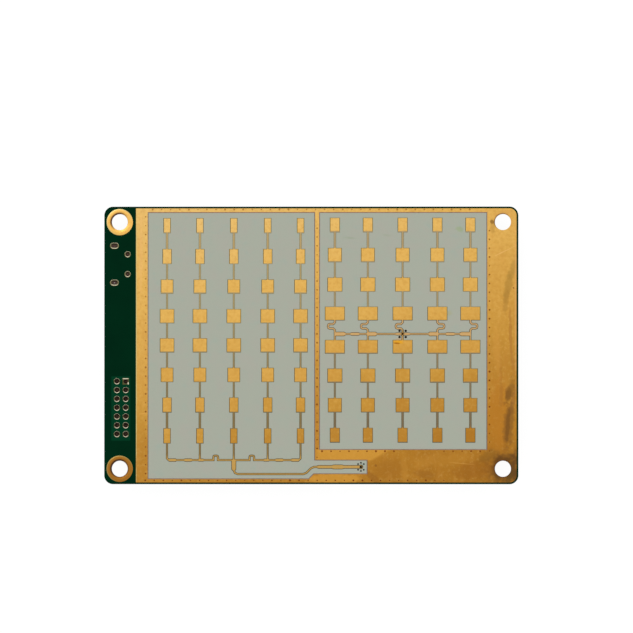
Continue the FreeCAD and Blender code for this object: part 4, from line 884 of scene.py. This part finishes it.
def build_port_barrels(material):
    mesh = bmesh.new()
    lathe(mesh, PORT_ROUNDS, barrel(PORT_ROUND_BORE, PORT_ROUND_RING), 32)
    length, width = PORT_SLOT
    for x, y in PORT_SLOTS:
        sweep(mesh, stadium(x, y, length, width), barrel(0, PORT_SLOT_RIM))
    finish_mesh("port_barrels", mesh, material, 50, "port_hole_plating")


def build_hole_solder(material, bright):
    """Solder that has crept up round the tails and legs, below the front face, its dark brown
    partly flux and partly painted shade inside the holes.
    """
    low = 0.05
    mesh = bmesh.new()
    reach = HEADER_BORE - 0.01
    lathe(mesh, HEADER_HOLES + [FIRST_HOLE], [
        (POINT, 0.93), (0.26, 0.9), (0.4, 0.78), (reach, 0.82), (reach, low), (POINT, low),
    ], 24, closed=False)
    reach = PORT_ROUND_BORE - 0.01
    lathe(mesh, PORT_ROUNDS, [
        (POINT, 1.42), (0.25, 1.39), (reach, 1.2), (reach, low), (POINT, low),
    ], 24, closed=False)
    length, width = PORT_SLOT
    for x, y in PORT_SLOTS:
        add_mesh(mesh, plate(stadium(x, y, length - 0.02, width - 0.02), [], low, 1.15))
        add_mesh(mesh, plate(stadium(x, y, length - 0.25, width - 0.25), [], 1.15, 1.36))
    finish_mesh("hole_solder", mesh, material, 40)
    tip = bmesh.new()
    lathe(tip, PORT_SLOTS[:1], [(POINT, 1.42), (0.08, 1.4), (0.12, 1.35)], 16, closed=False)
    finish_mesh("port_leg_tip", tip, bright, 60)


def build_feed_vias(material, dark, red):
    mesh = bmesh.new()
    lathe(mesh, [LEFT_FEED, RIGHT_FEED], [(FEED_BORE, 0), (FEED_BORE, COPPER_TOP - 0.01),
                                          (FEED_WALL, COPPER_TOP), (FEED_WALL, 0)], 32)
    finish_mesh("feed_via_barrels", mesh, material, 50, "feed_vias")
    for name, place, radius, tone in (
        ("left_feed_socket", LEFT_FEED, 0.36, dark), ("right_feed_socket", RIGHT_FEED, 0.26, red),
    ):
        core = bmesh.new()
        lathe(core, [place], [(POINT, COPPER_TOP - 0.004), (radius * 0.7, COPPER_TOP - 0.002),
                              (radius, COPPER_TOP - 0.0005)], 24, closed=False)
        finish_mesh(name, core, tone, 50)
    cores = bmesh.new()
    for x, y in feed_dots():
        reach = 0.2 if x < RIGHT_FEED[0] - 2 else 0.28
        lathe(cores, [(x, y)], [(POINT, FACE + 0.012), (reach * 0.6, FACE + 0.012),
                                (reach, FACE + 0.002)], 16, closed=False)
    finish_mesh("feed_via_cores", cores, dark, 50)


# Rear of the board

def foot_boxes(name):
    """Low and high corners of the places where a node's solids stand on the rear."""
    mesh = welded_copy(name)
    seen, boxes = set(), []
    for first in mesh.verts:
        waiting, feet = [first], []
        while waiting:
            vertex = waiting.pop()
            if vertex in seen:
                continue
            seen.add(vertex)
            if vertex.co.z > FOOT_LOW * MM:
                feet.append(vertex.co.xy / MM)
            waiting += [edge.other_vert(vertex) for edge in vertex.link_edges]
        if feet:
            boxes.append((min(p.x for p in feet), min(p.y for p in feet),
                          max(p.x for p in feet), max(p.y for p in feet)))
    mesh.free()
    return boxes


def build_fillets(names, material):
    """Solder that rises round every foot from a pad a little wider than it."""
    mesh = bmesh.new()
    for name in names:
        for box in foot_boxes(name):
            rings = [
                [mesh.verts.new((x, y, depth)) for x, y in rectangle(*box, grow)]
                for grow, depth in ((0.16, 0), (0.15, -0.02), (0.06, -0.05), (0.015, -0.14))
            ]
            for upper, lower in zip(rings, rings[1:]):
                strip(mesh, upper, lower)
            mesh.faces.new(rings[-1])
    finish_mesh("rear_fillets", mesh, material)


def build_pads(material):
    """Pads that show round the flat chip, the crystal and the shield, and rings of the mounts."""
    low, high = (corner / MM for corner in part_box("serial_bridge_chip"))
    x, y = ((low + high) / 2).xy
    pads = []
    for k in range(-2, 3):
        for way in (-2.1, 2.1):
            pads += [(x + 0.65 * k, y + way, 0.16, 0.3), (x + way, y + 0.65 * k, 0.3, 0.16)]
    low, high = (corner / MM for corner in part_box("processor_crystal"))
    pads += [
        (x, y, 0.66, 0.66) for x in (low.x + 0.5, high.x - 0.5) for y in (low.y + 0.4, high.y - 0.4)
    ]
    mesh = bmesh.new()
    for x, y, across, along in pads:
        outline = rectangle(x - across, y - along, x + across, y + along)
        add_mesh(mesh, plate(outline, [], PAD_LOW, 0))
    low, high = (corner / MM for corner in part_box("shield_frame"))
    outer, inner = (rectangle(*low.xy, *high.xy, grow) for grow in (0.45, -0.3))
    add_mesh(mesh, plate(outer, [inner], PAD_LOW, 0))
    lathe(mesh, MOUNTS, [(MOUNT_BORE, 0), (MOUNT_BORE + 0.03, PAD_LOW),
                         (MOUNT_RING - 0.03, PAD_LOW), (MOUNT_RING, 0)], 72, closed=False)
    finish_mesh("rear_pads", mesh, material, 40)


def trace(mesh, points, width):
    """Line under the mask, mitred at its bends."""
    sides = []
    for index, point in enumerate(points):
        here = Vector(point)
        before = here - Vector(points[max(index - 1, 0)])
        after = Vector(points[min(index + 1, len(points) - 1)]) - here
        before, after = (before if index else after), (after if after.length else before)
        before.normalize()
        after.normalize()
        across = Vector((-before.y - after.y, before.x + after.x)) / (1 + before.dot(after))
        sides.append([
            mesh.verts.new((*(here + across * (way * width / 2)), depth))
            for way, depth in ((1, 0), (1, TRACE_LOW), (-1, TRACE_LOW), (-1, 0))
        ])
    for here, there in zip(sides, sides[1:]):
        strip(mesh, here, there, closed=False)


def step_across(start, end, bend):
    """Line from start to end along X, changing its height on a 45 degree slope from x = bend."""
    drop = abs(end[1] - start[1])
    way = 1 if end[0] > start[0] else -1
    return [start, (bend, start[1]), (bend + way * drop, end[1]), end]


SUPPLY_DIVE = [(3.2, -18.2), (3.2, -0.6)]


def trace_routes():
    """Bent lines and their widths, between the parts they join."""
    for k in range(8):
        # Header to the left side of the processor
        yield step_across((-41.2, -15.4 + 0.9 * k), (-19.8, 0.2 + 0.8 * k), -37.6 + 0.25 * k), 0.22
    for k in range(4):
        # Processor to flash memory, and amplifiers to the shielded circuit
        side, outer = (-1 if k < 2 else 1), k % 2
        x, lead = -15 + side * (1.2 + 0.8 * outer), -8.6 - 1.27 * outer
        bend = -16 + side * (4.1 + 0.6 * outer)
        yield [(x, -1.6), (x, -5.1 + 0.5 * outer), (bend, -8 + 0.5 * outer), (bend, lead),
               (-16 + side * 3.05, lead)], 0.2
        for y in (-5, -14):
            yield [(-0.4, y - 1.9 + 1.27 * k), (4.6, y - 1.9 + 1.27 * k)], 0.26
    for k in range(3):
        # Processor to the amplifiers
        yield step_across((-10.3, 1.8 - 0.8 * k), (-6.6, -3.1 - 1.27 * k), -10 + 0.2 * k)[:3], 0.2
        # Port to its protector and on to the bridge
        yield [(-40.4, 17.75 + 0.65 * k), (-37.6, 17.45 + 0.95 * k)], 0.24
        yield [(-34.4, 17.45 + 0.95 * k), (-31.9, 17.75 + 0.65 * k)], 0.24
    for k in range(2):
        # Bridge to the processor and crystal to the processor
        yield [(-27.1, 17.8 + 0.65 * k), (-26 + 0.5 * k, 17.8 + 0.65 * k),
               (-17.8 + 0.8 * k, 9.6 + 0.35 * k), (-17.8 + 0.8 * k, 7.6)], 0.2
        yield [(-16.6 + 3.2 * k, 9.8), (-15.4 + 0.8 * k, 8.6), (-15.4 + 0.8 * k, 7.6)], 0.2
    for x in (11, 24):
        # Supply lines of the regulators
        yield [(x - 3.4, 19.3), (x - 4.6, 20.5), (x - 4.6, 23.8), (x - 3.4, 25)], 0.9
        yield [(x + 3.6, 17), (x + 4.9, 18.3), (x + 4.9, 23.9), (x + 3.8, 25)], 0.9
    yield [(14.8, 14.7), (17, 14.7), (19.3, 17), (20.4, 17)], 0.7
    # Supply from the header through the inductor, under the amplifier lines, to the regulators
    yield [(-41.2, -17.4), (-34.6, -24), (-33.9, -24)], 1.1
    dive, rise = SUPPLY_DIVE
    yield [(-27.9, -24), (1.4, -24), (dive[0], -22.2), dive], 1.1
    yield [rise, (rise[0], 12.2), (7.4, 16.4)], 1.1


def build_rear_lines(material):
    mesh = bmesh.new()
    for points, width in trace_routes():
        trace(mesh, points, width)
    finish_mesh("rear_traces", mesh, material)


def build_rear_vias(material):
    """The ground vias come out on the rear, where the mask covers them."""
    draw = random.Random(11)
    places = fence_places() + SUPPLY_DIVE
    boxes = (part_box(name) for name in SLOT_OF)
    kept_clear = [
        (low / MM, high / MM) for low, high in boxes if high.z <= 0 and (high - low).x < 0.035
    ]
    for column in range(17):
        for row in range(11):
            x = -40 + 5 * column + draw.uniform(-1.6, 1.6)
            y = -26 + 5.1 * row + draw.uniform(-1.6, 1.6)
            if not any(low.x - 0.8 < x < high.x + 0.8 and low.y - 0.8 < y < high.y + 0.8
                       for low, high in kept_clear):
                places.append((x, y))
    mesh = bmesh.new()
    lathe(mesh, places, [
        (POINT, -0.004), (0.11, -0.004), (0.17, -0.024), (0.3, TRACE_LOW), (0.34, 0),
    ], 12, closed=False)
    finish_mesh("rear_vias", mesh, material, 60)


# Stage

def emptied(owner):
    """Clear the nodes of a material or world. The results add a node and a link to it."""
    owner.use_nodes = True
    owner.node_tree.nodes.clear()
    return owner.node_tree.nodes.new, owner.node_tree.links.new


def seen_by(new, link, *rays):
    """Socket that is 1 for rays of these kinds."""
    outputs = new("ShaderNodeLightPath").outputs
    seen = outputs[f"Is {rays[0]} Ray"]
    for ray in rays[1:]:
        either = new("ShaderNodeMath")
        either.operation = "MAXIMUM"
        link(seen, either.inputs[0])
        link(outputs[f"Is {ray} Ray"], either.inputs[1])
        seen = either.outputs[0]
    return seen


def build_floor():
    """White floor under the part, clear when seen from below."""
    mesh = bpy.data.meshes.new("floor")
    corners = [(x, y, cad_low.z - 0.0001) for x, y in square(0, 0, 3)]
    mesh.from_pydata(corners, [], [(0, 1, 2, 3)])
    material = bpy.data.materials.new("floor")
    new, link = emptied(material)
    diffuse, glow = new("ShaderNodeBsdfDiffuse"), new("ShaderNodeEmission")
    diffuse.inputs["Color"].default_value = (0.1, 0.1, 0.1, 1)
    strength = new("ShaderNodeMath")
    strength.operation = "MULTIPLY"
    strength.inputs[1].default_value = 0.94
    link(seen_by(new, link, "Camera", "Glossy"), strength.inputs[0])
    link(strength.outputs[0], glow.inputs["Strength"])
    both, side = new("ShaderNodeAddShader"), new("ShaderNodeMixShader")
    link(diffuse.outputs[0], both.inputs[0])
    link(glow.outputs[0], both.inputs[1])
    link(new("ShaderNodeNewGeometry").outputs["Backfacing"], side.inputs[0])
    link(both.outputs[0], side.inputs[1])
    link(new("ShaderNodeBsdfTransparent").outputs[0], side.inputs[2])
    link(side.outputs[0], new("ShaderNodeOutputMaterial").inputs[0])
    mesh.materials.append(material)
    floor = add_object("floor", mesh)


def build_world():
    """Even white surroundings, softer on the object than what the camera sees."""
    world = bpy.data.worlds.new("studio")
    bpy.context.scene.world = world
    new, link = emptied(world)
    pick = new("ShaderNodeMixShader")
    link(seen_by(new, link, "Camera", "Glossy", "Transmission"), pick.inputs[0])
    for index, strength in ((1, 0.72), (2, 1)):
        light = new("ShaderNodeBackground")
        light.inputs["Color"].default_value = (1, 1, 1, 1)
        light.inputs["Strength"].default_value = strength
        link(light.outputs[0], pick.inputs[index])
    link(pick.outputs[0], new("ShaderNodeOutputWorld").inputs[0])


def add_lamp(name, place, size, power):
    data = bpy.data.lights.new(name, "AREA")
    data.shape = "SQUARE"
    data.size = size
    data.energy = power
    lamp = add_object(name, data)
    lamp.location = place
    lamp.rotation_mode = "QUATERNION"
    lamp.rotation_quaternion = (-Vector(place)).to_track_quat("-Z", "Y")


def build_camera():
    """Long lens almost square to the board."""
    across, below = math.radians(1.5), math.radians(0.8)
    distance, frame_width = 3, 0.14367
    target = Vector((1.2, 6.555, 1.6)) * MM
    back = Vector((math.sin(across) * math.cos(below), -math.sin(below),
                   math.cos(across) * math.cos(below)))
    right = Vector((math.cos(across), 0, -math.sin(across)))
    up = back.cross(right)
    roll = math.atan(math.tan(across) * math.sin(below)) / 2
    right, up = (right * math.cos(roll) + up * math.sin(roll),
                 up * math.cos(roll) - right * math.sin(roll))
    data = bpy.data.cameras.new("camera")
    data.sensor_width = 36
    data.lens = data.sensor_width * distance / frame_width
    data.clip_start, data.clip_end = 0.1, 20
    camera = add_object("camera", data)
    turn = Matrix((right, up, back)).transposed()
    camera.matrix_world = Matrix.Translation(target + back * distance) @ turn.to_4x4()
    bpy.context.scene.camera = camera


bpy.context.scene.view_settings.view_transform = "Standard"

# The colours by height paint the shade on the lines between the rows
LEFT_GOLD = patch_gold("gold_left_field", LEFT_ROWS, [
    (-30, (184, 146, 78)), (-25.6, (188, 150, 82)), (-24.6, (140, 116, 72)),
    (-17, (120, 104, 70)), (-3, (142, 124, 88)), (10, (158, 139, 97)),
    (28, (174, 149, 102)),
])
RIGHT_GOLD = patch_gold("gold_right_field", RIGHT_ROWS, [
    (-18, (110, 98, 76)), (-3.6, (133, 119, 92)), (0.4, (150, 126, 86)), (2.2, (196, 158, 104)),
    (5.6, (194, 158, 112)), (6.6, (156, 137, 98)), (28, (164, 142, 104)),
], [
    (19.3, 0.75, 20.6, 0.7, 0.9, (222, 158, 30), 0.85),
    (19, 0.5, 20.1, 0.45, 0.4, (160, 98, 20), 0.9),
    (20.3, 1.7, 21.1, 3.6, 0.9, (140, 112, 56), 0.7),
    (27.5, -21, 39, -20.8, 5.5, (160, 104, 26), 0.5),
])
GOLD_GROUND = stained_and_shaded_gold()
GOLD_RINGS = ring_gold()
X, Y = FIRST_HOLE
# Rims with painted light, painted shade and, on the square pad, painted glints
HEADER_RIM = rim_material("header_rim", (88, 84, 44), (222, 212, 184), (36, 30, 12), [
    (X - 0.6, Y + 0.62, X + 0.6, Y + 0.64, 0.24), (X + 0.56, Y - 0.3, X + 0.56, Y - 0.6, 0.26),
])
PORT_RIM = rim_material("port_rim", (124, 118, 78), (216, 208, 176), (58, 50, 28))
VIA_CORE = dot_material("via_core", (136, 70, 16), (190, 138, 62), (96, 52, 16))
VIA_DARK = dot_material("via_dark", (16, 18, 14))
VIA_SOCKET = dot_material("via_socket", (44, 6, 4))
# Painted light and shade of a slope that faces down, up, left and right on the board
FIELD_SLOPE_LIGHT_AND_SHADE = ((80, 64, 24), (172, 148, 96), (86, 76, 28), (118, 104, 60))
WINDOW_SLOPE_LIGHT_AND_SHADE = ((184, 118, 54), (190, 150, 118), (130, 108, 106), (142, 124, 120))
# The colours by height paint the shade on the slopes of the lines between the rows
EDGE_SHADE_LEFT = edge_shade_material("edge_shade_left_field", FIELD_SLOPE_LIGHT_AND_SHADE, LEFT_ROWS, [
    (-30, (76, 62, 32)), (-24.9, (78, 64, 32)), (-24, (100, 88, 58)), (-17, (118, 110, 84)),
    (-3, (128, 124, 96)), (10, (146, 144, 116)), (28, (154, 145, 112)),
])
EDGE_SHADE_RIGHT = edge_shade_material("edge_shade_right_field", FIELD_SLOPE_LIGHT_AND_SHADE, RIGHT_ROWS, [
    (-18, (106, 98, 76)), (-3.6, (132, 126, 102)), (0.3, (124, 108, 76)), (2, (78, 60, 30)),
    (5.7, (90, 70, 44)), (6.6, (144, 138, 112)), (28, (150, 142, 114)),
])
EDGE_SHADE_WINDOW = edge_shade_material("edge_shade_window", WINDOW_SLOPE_LIGHT_AND_SHADE)
# Solder, coloured dark brown partly for flux and partly for the painted shade inside the holes
SOLDER_AND_HOLE_SHADE = plain_material("solder_and_hole_shade", (52, 24, 12), (0.6, 0.75), 0, 3, (88, 56, 30))
GREEN = mask_material()
TRACE_GREEN = plain_material("covered_copper", (10, 92, 52), (0.3, 0.44), 0, 2, (7, 80, 45))
TIN = plain_material("tinned_lead", (196, 197, 196), (0.28, 0.44), 0.9)
CHIP = plain_material("chip_body", (40, 41, 43), (0.5, 0.68), 0, 9, (28, 28, 30), 0.2)
SOCKET = plain_material("socket_plastic", (30, 30, 32), (0.4, 0.55), 0, 5)
SHIELD = brushed_material("tinned_sheet", (198, 198, 194), "x")
PORT = brushed_material("port_steel", (205, 206, 206), "y")
CAN = plain_material("crystal_can", (202, 203, 201), (0.26, 0.4), 0.9, 3)
CONTACT = plain_material("gold_contact", (222, 176, 92), (0.26, 0.4), 0.9)
YELLOW = plain_material("tantalum_yellow", (222, 152, 52), (0.42, 0.58), 0, 5)
FERRITE = plain_material("ferrite", (66, 67, 69), (0.6, 0.78), 0, 7, (48, 48, 50), 0.3)
CERAMIC = plain_material("capacitor_ceramic", (158, 124, 88), (0.45, 0.6))
GLAZE = plain_material("resistor_glaze", (26, 27, 30), (0.25, 0.4))

build_camera()
build_floor()
build_world()
add_lamp("key", (-0.3, 0.45, 0.65), 0.5, 1.6)
add_lamp("fill", (0.45, -0.1, 0.5), 0.6, 0.5)
add_lamp("under", (0.2, -0.3, -0.5), 0.6, 1.9)

paint(["circuit_board"], laminate_material())
paint(nodes_in("contact_gold"), CONTACT)
paint(["shield_frame"], SHIELD)
softened(["shield_lid"], 0.1, SHIELD)
softened(nodes_in("crystal_can"), 0.2, CAN, 3)
for slot, width, material in (
    ("black_plastic", 0.06, SOCKET), ("port_steel", 0.05, PORT), ("chip_body", 0.06, CHIP),
    ("lead_tin", 0.03, TIN), ("tantalum_yellow", 0.12, YELLOW), ("ferrite", 0.2, FERRITE),
    ("capacitor_ceramic", 0.05, CERAMIC), ("resistor_coat", 0.05, GLAZE),
):
    softened(nodes_in(slot), width, material)

build_ground_sheet(GOLD_GROUND, EDGE_SHADE_WINDOW, VIA_CORE)
build_front_mask(GREEN)
build_mounting_eyelets(GOLD_RINGS)
build_header_barrels(HEADER_RIM)
build_port_barrels(PORT_RIM)
build_hole_solder(SOLDER_AND_HOLE_SHADE, TIN)
build_feed_vias(CONTACT, VIA_DARK, VIA_SOCKET)
build_patch_field("left", LEFT_GOLD, EDGE_SHADE_LEFT)
build_patch_field("right", RIGHT_GOLD, EDGE_SHADE_RIGHT)
build_fillets(nodes_in("lead_tin"), TIN)
build_pads(CONTACT)
build_rear_lines(TRACE_GREEN)
build_rear_vias(TRACE_GREEN)
